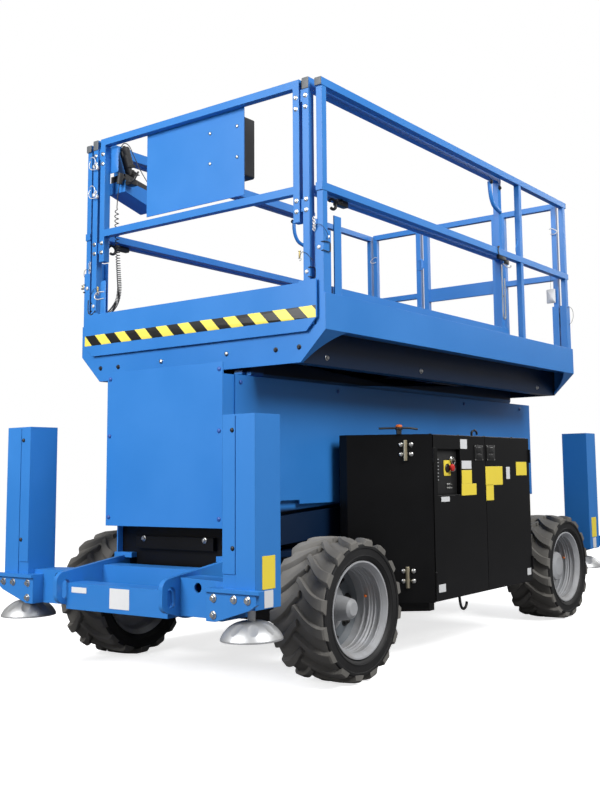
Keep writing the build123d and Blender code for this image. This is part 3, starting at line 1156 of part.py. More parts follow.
def control_cradle():
    """Sheet cradle of the platform controls, hooked over the right side rail."""
    y_range = (CRADLE_OUTER_Y, CRADLE_OUTER_Y + CRADLE_WIDTH)
    front = CRADLE_FRONT_X
    rear = front - CRADLE_LENGTH
    sheet = CRADLE_SHEET
    shell = plate_xz([
        (front, CRADLE_FRONT_Z[1]), (front, CRADLE_FRONT_Z[0]), (rear, CRADLE_REAR_Z[0]), (rear, CRADLE_REAR_Z[1]),
    ], y_range)
    inner_y = (y_range[0] + sheet, y_range[1] - sheet)
    above = CRADLE_FRONT_Z[1] + 30
    shell -= plate_xz([
        (front - sheet, above), (front - sheet, CRADLE_FRONT_Z[0] + sheet), (rear + sheet, CRADLE_REAR_Z[0] + sheet),
        (rear + sheet, above),
    ], inner_y)
    rail_top = EXTENSION_RAIL_TOP_Z + SLIDE_GAP
    strap_x = (front - 150, front - 30)
    strap = block(strap_x, (CRADLE_OUTER_Y, CRADLE_OUTER_Y + sheet), (CRADLE_FRONT_Z[0] + 15, rail_top + sheet))
    hook = block(strap_x, (CRADLE_OUTER_Y - TUBE + 6, CRADLE_OUTER_Y), (rail_top, rail_top + sheet))
    return shell + strap + hook


def joystick_handset():
    """Control handset in the cradle: housing, tilted joystick with its grip, and the cord's plug."""
    sheet = CRADLE_SHEET
    front = CRADLE_FRONT_X - sheet
    rear = front - CRADLE_LENGTH + 2 * sheet
    body_y = (CRADLE_OUTER_Y + 2 * sheet, CRADLE_OUTER_Y + CRADLE_WIDTH - sheet)
    front_top = CRADLE_FRONT_Z[1] + 38
    body = plate_xz([
        (front, front_top), (front, CRADLE_FRONT_Z[0] + sheet), (rear, CRADLE_REAR_Z[0] + sheet),
        (rear, CRADLE_REAR_Z[1] + 25),
    ], body_y)
    stem = Pos(front - 105, sum(body_y) / 2, front_top - 33) * Rot(0, 22, 0)
    body += stem * Pos(0, 0, 30) * Cone(34, 16, 60)
    body += stem * Pos(0, 0, 110) * Cylinder(21, 120)
    end, below = (Vector(*point) for point in CORD_ROUTE[:2])
    upward = (end - below).normalized()
    plug = Plane(origin=end, z_dir=upward) * Pos(0, 0, PLUG_LENGTH / 2) * Cylinder(CORD_RADIUS + 3, PLUG_LENGTH)
    joint = end + upward * (PLUG_LENGTH - CORD_RADIUS - 7)
    elbow = Pos(0, joint.Y, joint.Z) * bar_along_x(CORD_RADIUS - 2, (front - 20, CORD_X + 1))
    return body + plug + elbow


def cord_bends():
    """Radius of the arc at each bend of the cord, set by the shorter of its two runs."""
    points = [Vector(*point) for point in CORD_ROUTE]
    bends = []
    for before, corner, after in zip(points, points[1:], points[2:]):
        inward = corner - before
        outward = after - corner
        turn = radians(inward.get_angle(outward))
        bends.append(CORD_ARC_SHARE * min(inward.length, outward.length) / tan(turn / 2))
    return bends


def control_cord():
    """Curly cord of the handset as one tube of its outer diameter."""
    bends = cord_bends()
    route = FilletPolyline(*CORD_ROUTE, radius=bends)
    section = Plane(origin=route @ 0, z_dir=route % 0) * Circle(CORD_RADIUS)
    print(f"control cord bend radii {[round(bend) for bend in bends]}, length {route.length:.0f}")
    return sweep(section, path=route)


def cord_socket():
    """Socket on the right curb of the sliding deck that the cord ends in."""
    start, end = (Vector(*point) for point in CORD_ROUTE[-2:])
    along = (end - start).normalized()
    socket = Plane(origin=end, z_dir=along) * Pos(0, 0, 30) * Cylinder(CORD_RADIUS + 4, 60)
    inner = -EXTENSION_HALF_WIDTH + 2
    return socket & block((CORD_X - 60, CORD_X + 60), (inner, 0), (EXTENSION_FLOOR_Z, EXTENSION_TOE_Z + 60))


def build_extension():
    """Extension deck with its rails and fittings."""
    save(extension_deck(), "extension_deck")
    save(extension_rails(), "extension_rails")
    save(front_sheet(), "front_sheet")
    save(manual_box(), "manual_box")
    save(control_cradle(), "control_cradle")
    save(joystick_handset(), "joystick_handset")
    save(control_cord(), "control_cord")


build_wheels()
build_axles()
build_chassis()
build_modules()
build_stack()
build_cylinder()
build_platform()
build_extension()
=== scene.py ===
"""Looks of an electric rough-ground scissor lift: finishes, small hardware, stage and camera.

Metres, +X forward, +Y to the machine's left, +Z up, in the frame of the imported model.
"""

import json
import logging
import math
from collections.abc import Iterable, Iterator, Sequence
from dataclasses import dataclass, field
from enum import Enum

import bpy
import numpy as np
from mathutils import Matrix, Vector


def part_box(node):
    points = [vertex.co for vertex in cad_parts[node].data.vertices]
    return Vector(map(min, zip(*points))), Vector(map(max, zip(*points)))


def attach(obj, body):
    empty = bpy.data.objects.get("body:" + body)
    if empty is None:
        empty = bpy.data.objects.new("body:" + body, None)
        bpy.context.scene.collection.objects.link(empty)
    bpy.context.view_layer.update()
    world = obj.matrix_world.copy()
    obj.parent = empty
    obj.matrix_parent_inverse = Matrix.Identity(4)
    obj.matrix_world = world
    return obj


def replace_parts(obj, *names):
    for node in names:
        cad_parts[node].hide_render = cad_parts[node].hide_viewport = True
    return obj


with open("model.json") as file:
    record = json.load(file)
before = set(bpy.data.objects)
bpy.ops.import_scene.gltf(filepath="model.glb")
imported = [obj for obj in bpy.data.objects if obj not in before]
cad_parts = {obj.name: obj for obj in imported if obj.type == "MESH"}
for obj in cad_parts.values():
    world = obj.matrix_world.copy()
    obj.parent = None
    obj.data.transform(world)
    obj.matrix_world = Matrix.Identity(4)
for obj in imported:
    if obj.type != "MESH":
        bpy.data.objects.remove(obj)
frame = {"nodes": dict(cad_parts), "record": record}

LOG = logging.getLogger("scissor_lift")
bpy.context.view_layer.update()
DOOR_RECESS = 0.009  # depth of the doors' faces behind their frames' outermost point, metres


class Axis(Enum):
    """Direction that a small part's own +Z is turned to."""

    FORWARD = (1.0, 0.0, 0.0)
    BACKWARD = (-1.0, 0.0, 0.0)
    LEFT = (0.0, 1.0, 0.0)
    RIGHT = (0.0, -1.0, 0.0)
    UP = (0.0, 0.0, 1.0)


def facing(out: Sequence[float], at: Sequence[float]) -> Matrix:
    """Placement at a point whose Z points out, with X to the right and Y up for someone who looks at it.

    Args:
        out: Direction of its Z.
        at: Where its origin goes.

    Returns:
        A 4 by 4 placement.
    """
    z = Vector(out).normalized()
    upright = abs(z.z) > 0.99
    x = Vector((1.0, 0.0, 0.0)) if upright else Vector((0.0, 0.0, 1.0)).cross(z).normalized()
    return Matrix.Translation(Vector(at)) @ Matrix((x, z.cross(x), z)).transposed().to_4x4()


# ------------------------------------------------------------------ surfaces
@dataclass(frozen=True)
class Surface:
    """A mesh held as arrays: points (n, 3), quads (m, 4) and triangles (k, 3)."""

    points: np.ndarray
    quads: np.ndarray
    triangles: np.ndarray

    def moved(self, matrix: Matrix) -> "Surface":
        """The surface with every point p taken to M p.

        Args:
            matrix: A 4 by 4 placement without mirroring.

        Returns:
            The placed surface.
        """
        m = np.array(matrix)
        return Surface(self.points @ m[:3, :3].T + m[:3, 3], self.quads, self.triangles)

    def placed(self, at: Sequence[float], axis: Axis = Axis.UP, turn: float = 0.0) -> "Surface":
        """The surface turned about its own Z, laid along an axis and moved to a point.

        Args:
            at: Where the surface's origin goes.
            axis: Where its +Z points.
            turn: Angle about its own +Z, in radians.

        Returns:
            The placed surface.
        """
        return self.moved(facing(axis.value, at) @ Matrix.Rotation(turn, 4, "Z"))

    def mirrored(self) -> "Surface":
        """The surface across the machine's centre plane, y to -y, with its faces turned back outwards."""
        return Surface(self.points * (1.0, -1.0, 1.0), self.quads[:, ::-1], self.triangles[:, ::-1])


def joined(parts: Iterable[Surface]) -> Surface:
    """Several surfaces as one: points are stacked and face indices shifted by the points before them.

    Args:
        parts: The surfaces.

    Returns:
        One surface.
    """
    parts = list(parts)
    counts = np.array([0] + [len(part.points) for part in parts[:-1]]).cumsum()
    return Surface(
        np.concatenate([part.points for part in parts]),
        np.concatenate([part.quads + start for part, start in zip(parts, counts)]),
        np.concatenate([part.triangles + start for part, start in zip(parts, counts)])
    )


def lofted(rings: np.ndarray, capped: bool = True, looped: bool = False) -> Surface:
    """Skin over a grid of rings: quad (i, j) joins rings i and i + 1 between points j and j + 1.

    Args:
        rings: Points (rings, points around, 3). Each ring is closed.
        capped: Whether a fan about its mean point closes each end.
        looped: Whether the last ring joins the first.

    Returns:
        The skin, with faces outwards where the rings run anticlockwise about their way on.
    """
    count, around = rings.shape[:2]
    i = np.arange(count if looped else count - 1)[:, None]
    j = np.arange(around)[None, :]
    following = (j + 1) % around
    after = (i + 1) % count
    corners = [i * around + j, i * around + following, after * around + following, after * around + j]
    quads = np.stack(np.broadcast_arrays(*corners), axis=-1).reshape(-1, 4)
    points = rings.reshape(-1, 3)
    triangles = np.zeros((0, 3), int)
    if capped and not looped:
        middle = len(points)
        points = np.concatenate([points, rings[[0, -1]].mean(axis=1)])
        edge = np.arange(around)
        turn = (edge + 1) % around
        last = (count - 1) * around
        low = np.stack([turn, edge, np.full(around, middle)], axis=-1)
        high = np.stack([last + edge, last + turn, np.full(around, middle + 1)], axis=-1)
        triangles = np.concatenate([low, high])
    return Surface(points, quads, triangles)


def revolved(
    profile: Sequence[tuple[float, float]], sides: int = 24, phase: float = 0.0, closed: bool = False
) -> Surface:
    """Surface of revolution about Z: (r, z) goes to (r cos a, r sin a, z) for each angle a.

    Args:
        profile: (radius, height) points from the lower end to the upper one, both closed by fans.
        sides: Points around; 6 gives a hexagon head.
        phase: First angle, in radians.
        closed: Whether the profile is a closed loop, which makes a ring.

    Returns:
        The closed surface.
    """
    radius, height = np.array(profile, float).T[:, :, None]
    angle = phase + np.linspace(0, 2 * np.pi, sides, endpoint=False)[None, :]
    rings = np.stack([radius * np.cos(angle), radius * np.sin(angle), height + 0 * angle], axis=-1)
    if closed:
        rings = np.concatenate([rings, rings[:1]])
    return lofted(rings, capped=not closed)


def rounded_outline(length: float, width: float, radius: float, steps: int = 4) -> np.ndarray:
    """Anticlockwise rectangle with round corners: a corner point plus radius times (cos a, sin a).

    Args:
        length: Size along the first axis.
        width: Size along the second axis.
        radius: Corner radius.
        steps: Spans in each corner's arc.

    Returns:
        Points (4 (steps + 1), 2).
    """
    corner = np.array([(1, 1), (-1, 1), (-1, -1), (1, -1)])[:, None, :]
    centre = corner * (length / 2 - radius, width / 2 - radius)
    start = np.arange(4)[:, None] * np.pi / 2
    angle = start + np.linspace(0, np.pi / 2, steps + 1)[None, :]
    arc = np.stack([np.cos(angle), np.sin(angle)], axis=-1)
    return (centre + radius * arc).reshape(-1, 2)


def soft_block(size: Sequence[float], corner: float, edge: float, steps: int = 3) -> Surface:
    """Block with quarter-round top and bottom edges: the outline shrinks by edge (1 - sin a) as z gains.

    Args:
        size: Length, width and height. The block stands on z = 0.
        corner: Radius of the upright corners.
        edge: Radius of the top and bottom edges.
        steps: Spans in each quarter round.

    Returns:
        The closed block.
    """
    length, width, height = size
    angle = np.linspace(0, np.pi / 2, steps + 1)
    inset = np.concatenate([edge * (1 - np.sin(angle)), edge * (1 - np.cos(angle))])
    level = np.concatenate([edge * (1 - np.cos(angle)), height - edge + edge * np.sin(angle)])
    outline = rounded_outline(length, width, corner)
    reach = np.abs(outline).max(axis=0)
    scale = 1 - inset[:, None, None] / reach
    rings = np.concatenate([
        outline[None] * scale, np.broadcast_to(level[:, None, None], (len(level), len(outline), 1))
    ], axis=-1)
    return lofted(rings)


def swept(section: np.ndarray, path: np.ndarray, side: Sequence[float]) -> Surface:
    """A section carried along a path: point (u, v) goes to p + u n + v b, with n = side x t and b = t x n.

    Args:
        section: Anticlockwise (u, v) points (k, 2).
        path: Centre line (n, 3).
        side: A direction that the path never runs along.

    Returns:
        The tube, closed at both ends.
    """
    tangent = np.gradient(path, axis=0)
    tangent /= np.linalg.norm(tangent, axis=1, keepdims=True)
    normal = np.cross(np.array(side, float), tangent)
    normal /= np.linalg.norm(normal, axis=1, keepdims=True)
    binormal = np.cross(tangent, normal)
    u, v = section.T[:, None, :, None]
    return lofted(path[:, None] + u * normal[:, None] + v * binormal[:, None])


def round_section(radius: float, sides: int = 10) -> np.ndarray:
    """Circle as (radius cos a, radius sin a) points (sides, 2)."""
    angle = np.linspace(0, 2 * np.pi, sides, endpoint=False)
    return radius * np.stack([np.cos(angle), np.sin(angle)], axis=-1)


def smooth_path(points: Sequence[Sequence[float]], per_span: int = 8) -> np.ndarray:
    """Catmull-Rom curve through points: each span is the cubic with slopes (p2 - p0) / 2 and (p3 - p1) / 2.

    Args:
        points: Way points.
        per_span: Samples in each span.

    Returns:
        Points (n, 3).
    """
    p = np.array(points, float)
    p = np.concatenate([2 * p[:1] - p[1:2], p, 2 * p[-1:] - p[-2:-1]])
    t = np.linspace(0, 1, per_span, endpoint=False)[None, :, None]
    a, b, c, d = (p[k:len(p) - 3 + k, None] for k in range(4))
    curve = 0.5 * (
        2 * b + (c - a) * t + (2 * a - 5 * b + 4 * c - d) * t**2 + (3 * b - a - 3 * c + d) * t**3
    )
    return np.concatenate([curve.reshape(-1, 3), p[-2:-1]])


def wire(
    points: Sequence[Sequence[float]], radius: float, side: Sequence[float], sides: int = 8,
    start: Sequence[float] = (0.0, 0.0, 0.0)
) -> Surface:
    """Round wire along a smooth path through the points.

    Args:
        points: Way points, counted from the start.
        radius: The wire's radius.
        side: A direction that the path never runs along.
        sides: Points around the wire.
        start: Where the points are counted from.

    Returns:
        The wire, closed at both ends.
    """
    return swept(round_section(radius, sides), smooth_path(np.array(points) + np.array(start)), side)


def arc(
    centre: Sequence[float], across: Sequence[float], up: Sequence[float], count: int = 9,
    ends: tuple[float, float] = (0.0, 2 * math.pi)
) -> np.ndarray:
    """Points centre + across cos a + up sin a, for angles a between the two ends.

    Args:
        centre: The arc's centre.
        across: Radius vector at angle 0.
        up: Radius vector at a quarter turn.
        count: How many points.
        ends: First and last angle, in radians.

    Returns:
        Points (count, 3).
    """
    angle = np.linspace(*ends, count)[:, None]
    return np.array(centre) + np.array(across) * np.cos(angle) + np.array(up) * np.sin(angle)


def hex_bolt(size: float, washer: bool = True) -> Surface:
    """Hexagon bolt head on its washer, standing on z = 0.

    Args:
        size: Half the width across the head's corners.
        washer: Whether a round washer lies under it.

    Returns:
        The head and washer.
    """
    head = [
        (size * 0.98, 0.2 * size), (size, 0.3 * size), (size, 0.85 * size), (size * 0.86, size),
        (size * 0.4, size * 1.02)
    ]
    parts = [revolved(head, 6)]
    if washer:
        rim = [
            (size * 1.35, 0.0), (size * 1.4, 0.05 * size), (size * 1.4, 0.2 * size),
            (size * 1.3, 0.26 * size)
        ]
        parts.append(revolved(rim, 18))
    return joined(parts)


def dome_bolt(size: float) -> Surface:
    """Round-headed bolt on a short rim: r = size cos a, z = size (0.12 + 0.55 sin a), from z = 0 up."""
    angle = np.linspace(0, 1.35, 6)
    profile = np.stack([size * np.cos(angle), 0.12 * size + 0.55 * size * np.sin(angle)], axis=-1)
    return revolved([(size, 0.0), *map(tuple, profile)], 14)


def add_piece(
    name: str, surface: Surface, finish: bpy.types.Material, body: str, sharp: float = 40.0
) -> bpy.types.Object:
    """Put a surface into the scene as one piece that moves with a body.

    Args:
        name: The piece's name.
        surface: Its points and faces, in the machine's frame.
        finish: Its material.
        body: The body that it rides on.
        sharp: Edges that turn by more than this, in degrees, stay sharp.

    Returns:
        The new object.
    """
    mesh = bpy.data.meshes.new(name)
    quads, triangles = surface.quads, surface.triangles
    loops = np.concatenate([quads.ravel(), triangles.ravel()]).astype(np.int32)
    sizes = np.concatenate([np.full(len(quads), 4), np.full(len(triangles), 3)]).astype(np.int32)
    starts = np.concatenate([[0], sizes[:-1].cumsum()]).astype(np.int32)
    mesh.vertices.add(len(surface.points))
    mesh.vertices.foreach_set("co", surface.points.astype(np.float32).ravel())
    mesh.loops.add(len(loops))
    mesh.loops.foreach_set("vertex_index", loops)
    mesh.polygons.add(len(sizes))
    mesh.polygons.foreach_set("loop_start", starts)
    mesh.polygons.foreach_set("loop_total", sizes)
    mesh.update(calc_edges=True)
    mesh.validate()
    mesh.polygons.foreach_set("use_smooth", np.ones(len(mesh.polygons), bool))
    mesh.set_sharp_from_angle(angle=math.radians(sharp))
    mesh.materials.append(finish)
    piece = bpy.data.objects.new(name, mesh)
    bpy.context.scene.collection.objects.link(piece)
    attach(piece, body)
    return piece


# ------------------------------------------------------------------ finishes
Colour = tuple[float, float, float]


@dataclass
class Sheet:
    """A node tree under construction, with short calls for the nodes that the finishes use."""

    tree: bpy.types.NodeTree

    def node(self, kind: str, **settings: object) -> bpy.types.Node:
        """Add a node.

        Args:
            kind: Node type without its ShaderNode prefix.
            settings: Attributes to set on it.

        Returns:
            The node.
        """
        made = self.tree.nodes.new("ShaderNode" + kind)
        for name, value in settings.items():
            setattr(made, name, value)
        return made

    def feed(self, value: object, socket: bpy.types.NodeSocket) -> None:
        """Link an output to a socket, or set the socket's own value."""
        if isinstance(value, bpy.types.NodeSocket):
            self.tree.links.new(value, socket)
        elif isinstance(value, tuple) and socket.type == "RGBA":
            socket.default_value = (*value, 1.0)
        else:
            socket.default_value = value

    def math(self, operation: str, a: object, b: object = 0.0, clamp: bool = False) -> bpy.types.NodeSocket:
        """Output of a Math node on two values or sockets."""
        made = self.node("Math", operation=operation, use_clamp=clamp)
        self.feed(a, made.inputs[0])
        self.feed(b, made.inputs[1])
        return made.outputs[0]

    def blend(self, share: object, a: object, b: object) -> bpy.types.NodeSocket:
        """Colour a with b mixed in by a share."""
        made = self.node("Mix", data_type="RGBA")
        self.feed(share, made.inputs[0])
        self.feed(a, made.inputs[6])
        self.feed(b, made.inputs[7])
        return made.outputs[2]

    def span(
        self, value: object, low: float, high: float, to_low: float, to_high: float
    ) -> bpy.types.NodeSocket:
        """Value mapped from one range to another, clamped."""
        made = self.node("MapRange")
        for socket, amount in zip(made.inputs, (value, low, high, to_low, to_high)):
            self.feed(amount, socket)
        return made.outputs[0]

    def noise(
        self, place: object, scale: float, detail: float = 2.0, rough: float = 0.5
    ) -> bpy.types.NodeSocket:
        """Noise value at a place."""
        made = self.node("TexNoise")
        self.feed(place, made.inputs["Vector"])
        made.inputs["Scale"].default_value = scale
        made.inputs["Detail"].default_value = detail
        made.inputs["Roughness"].default_value = rough
        return made.outputs[0]

    def place(self) -> bpy.types.NodeSocket:
        """Object coordinates."""
        return self.node("TexCoord").outputs["Object"]


def new_group(
    name: str, numbers: dict[str, float], outputs: Sequence[str]
) -> tuple[bpy.types.NodeTree, Sheet]:
    """Start a shader node group with number inputs and number outputs.

    Args:
        name: The group's name.
        numbers: Input names and their defaults.
        outputs: Output names.

    Returns:
        The group and a sheet to build it on.
    """
    tree = bpy.data.node_groups.new(name, "ShaderNodeTree")
    for label, value in numbers.items():
        socket = tree.interface.new_socket(name=label, in_out="INPUT", socket_type="NodeSocketFloat")
        socket.default_value = value
    for label in outputs:
        tree.interface.new_socket(name=label, in_out="OUTPUT", socket_type="NodeSocketFloat")
    return tree, Sheet(tree)


@dataclass
class SharedEffects:
    """Node groups that more than one finish uses, each built once."""

    dust: bpy.types.NodeTree = field(init=False)
    mottle: bpy.types.NodeTree = field(init=False)

    def __post_init__(self) -> None:
        """Build the groups."""
        self.dust = self.build_dust()
        self.mottle = self.build_mottle()

    def build_dust(self) -> bpy.types.NodeTree:
        """Dust mask: more on faces that look up and near the ground, broken up by noise.

        Returns:
            The group, with inputs Amount and Height and output Mask.
        """
        tree, sheet = new_group("Settled dust", {"Amount": 0.3, "Height": 0.8}, ["Mask"])
        entry, leave = tree.nodes.new("NodeGroupInput"), tree.nodes.new("NodeGroupOutput")
        place = sheet.place()
        split = sheet.node("SeparateXYZ")
        sheet.feed(place, split.inputs[0])
        normal = sheet.node("SeparateXYZ")
        sheet.feed(sheet.node("NewGeometry").outputs["Normal"], normal.inputs[0])
        upward = sheet.span(normal.outputs[2], 0.2, 0.95, 0.0, 0.7)
        low = sheet.math(
            "SUBTRACT", 1.0, sheet.math("DIVIDE", split.outputs[2], entry.outputs["Height"]), clamp=True
        )
        patches = sheet.span(sheet.noise(place, 9.0, 5.0, 0.65), 0.38, 0.68, 0.0, 1.0)
        mask = sheet.math("MULTIPLY", sheet.math("ADD", upward, low), patches)
        sheet.feed(sheet.math("MULTIPLY", mask, entry.outputs["Amount"], clamp=True), leave.inputs["Mask"])
        return tree

    def build_mottle(self) -> bpy.types.NodeTree:
        """Slow variation from 0 to 1 for colour and gloss, with a fine grain beside it.

        Returns:
            The group, with input Scale and outputs Slow and Fine.
        """
        tree, sheet = new_group("Mottle", {"Scale": 3.0, "Grain": 400.0}, ["Slow", "Fine"])
        entry, leave = tree.nodes.new("NodeGroupInput"), tree.nodes.new("NodeGroupOutput")
        place = sheet.place()
        for label, source, detail in (("Slow", "Scale", 4.0), ("Fine", "Grain", 1.0)):
            noise = sheet.node("TexNoise")
            sheet.feed(place, noise.inputs["Vector"])
            sheet.feed(entry.outputs[source], noise.inputs["Scale"])
            noise.inputs["Detail"].default_value = detail
            sheet.feed(noise.outputs[0], leave.inputs[label])
        return tree

    def use(self, sheet: Sheet, tree: bpy.types.NodeTree, **numbers: float) -> bpy.types.Node:
        """Place a group in a material.

        Args:
            sheet: The material's sheet.
            tree: The group.
            numbers: Values of its inputs, by name.

        Returns:
            The group node.
        """
        made = sheet.node("Group")
        made.node_tree = tree
        for name, value in numbers.items():
            made.inputs[name].default_value = value
        return made


def new_material(name: str) -> tuple[bpy.types.Material, Sheet, bpy.types.Node]:
    """An empty material with its shader.

    Args:
        name: The material's name.

    Returns:
        The material, its sheet and its Principled BSDF.
    """
    material = bpy.data.materials.new(name)
    material.use_nodes = True
    material.node_tree.nodes.clear()
    sheet = Sheet(material.node_tree)
    shader = sheet.node("BsdfPrincipled")
    sheet.feed(shader.outputs[0], sheet.node("OutputMaterial").inputs[0])
    return material, sheet, shader


@dataclass(frozen=True)
class PaintedShadeZone:
    """Region of painted shade: what lies behind an x, within a half width and between two heights, in
    metres at rest.
    """

    ahead: float
    half_width: float
    low: float
    high: float


@dataclass(frozen=True)
class Coating:
    """A painted, moulded or plated finish with slow mottle, fine grain, settled dust and optional
    near-black painted shade zones.
    """

    name: str
    colour: Colour
    shade: Colour
    roughness: float = 0.35
    metallic: float = 0.0
    coat: float = 0.0
    grain: float = 400.0
    bump: float = 0.03
    dust: float = 0.1
    dust_height: float = 0.8
    dust_colour: Colour = (0.32, 0.28, 0.22)
    edge_radius: float = 0.003
    specular: float = 0.5
    painted_shade_zones: tuple[PaintedShadeZone, ...] = ()
    # near-black colour of the painted shade, and its greatest share inside the painted shade zones
    painted_shade_colour: Colour = (0.0016, 0.0035, 0.0120)
    painted_shade_share: float = 0.94

    def painted_shade_mask(self, sheet: Sheet) -> object:
        """Mask of the near-black zones, which imitate deep shade under the deck and low in the stack.

        The zones fit the machine at rest. They are colour, so they stay dark in any light and pose.

        Args:
            sheet: The material's sheet.

        Returns:
            A socket, or 0 where the finish has no such zone.
        """
        mask = 0.0
        split = sheet.node("SeparateXYZ")
        sheet.feed(sheet.place(), split.inputs[0])
        across = sheet.math("ABSOLUTE", split.outputs[1], 0.0)
        for zone in self.painted_shade_zones:
            inside = sheet.math(
                "MULTIPLY", sheet.math("LESS_THAN", split.outputs[0], zone.ahead),
                sheet.math("LESS_THAN", across, zone.half_width)
            )
            tall = sheet.math(
                "MULTIPLY",
                sheet.span(split.outputs[2], zone.low, zone.low + 0.01, 0.0, self.painted_shade_share),
                sheet.span(split.outputs[2], zone.high, zone.high + 0.02, 1.0, 0.0)
            )
            mask = sheet.math("MAXIMUM", mask, sheet.math("MULTIPLY", inside, tall))
        return mask

    def make(self, effects: SharedEffects) -> bpy.types.Material:
        """Build the material.

        Args:
            effects: The shared node groups.

        Returns:
            The material.
        """
        material, sheet, shader = new_material(self.name)
        mottle = effects.use(sheet, effects.mottle, Grain=self.grain)
        dust = effects.use(sheet, effects.dust, Amount=self.dust, Height=self.dust_height).outputs["Mask"]
        slow = sheet.span(mottle.outputs["Slow"], 0.35, 0.65, 0.0, 1.0)
        paint = sheet.blend(slow, self.colour, self.shade)
        dusty = sheet.blend(dust, paint, self.dust_colour)
        # painted shade: the near-black colour is mixed over the paint inside the painted shade zones
        with_painted_shade = sheet.blend(self.painted_shade_mask(sheet), dusty, self.painted_shade_colour)
        sheet.feed(with_painted_shade, shader.inputs["Base Color"])
        gloss = sheet.math("ADD", self.roughness, sheet.math("MULTIPLY", slow, 0.06))
        sheet.feed(
            sheet.math("ADD", gloss, sheet.math("MULTIPLY", dust, 0.4), clamp=True),
            shader.inputs["Roughness"]
        )
        shader.inputs["Metallic"].default_value = self.metallic
        shader.inputs["Coat Weight"].default_value = self.coat
        shader.inputs["Coat Roughness"].default_value = 0.12
        shader.inputs["Specular IOR Level"].default_value = self.specular
        rounded = sheet.node("Bevel", samples=4)
        rounded.inputs["Radius"].default_value = self.edge_radius
        bump = sheet.node("Bump")
        bump.inputs["Strength"].default_value = self.bump
        bump.inputs["Distance"].default_value = 0.001
        sheet.feed(mottle.outputs["Fine"], bump.inputs["Height"])
        sheet.feed(rounded.outputs[0], bump.inputs["Normal"])
        sheet.feed(bump.outputs[0], shader.inputs["Normal"])
        return material


@dataclass(frozen=True)
class StripedBand:
    """Slanting stripes in two colours, counted along y + slope z."""

    name: str
    first: Colour
    second: Colour
    pitch: float
    slope: float = 1.0
    start: float = 10.0
    dust_colour: Colour = (0.4, 0.36, 0.3)

    def make(self, effects: SharedEffects) -> bpy.types.Material:
        """Build the material.

        Args:
            effects: The shared node groups.

        Returns:
            The material.
        """
        material, sheet, shader = new_material(self.name)
        split = sheet.node("SeparateXYZ")
        sheet.feed(sheet.place(), split.inputs[0])
        along = sheet.math("ADD", split.outputs[1], sheet.math("MULTIPLY", split.outputs[2], self.slope))
        share = sheet.math("FRACT", sheet.math("DIVIDE", sheet.math("ADD", along, self.start), self.pitch))
        stripes = sheet.blend(sheet.math("GREATER_THAN", share, 0.5), self.first, self.second)
        dust = effects.use(sheet, effects.dust, Amount=0.02, Height=3.0).outputs["Mask"]
        sheet.feed(sheet.blend(dust, stripes, self.dust_colour), shader.inputs["Base Color"])
        shader.inputs["Roughness"].default_value = 0.42
        return material


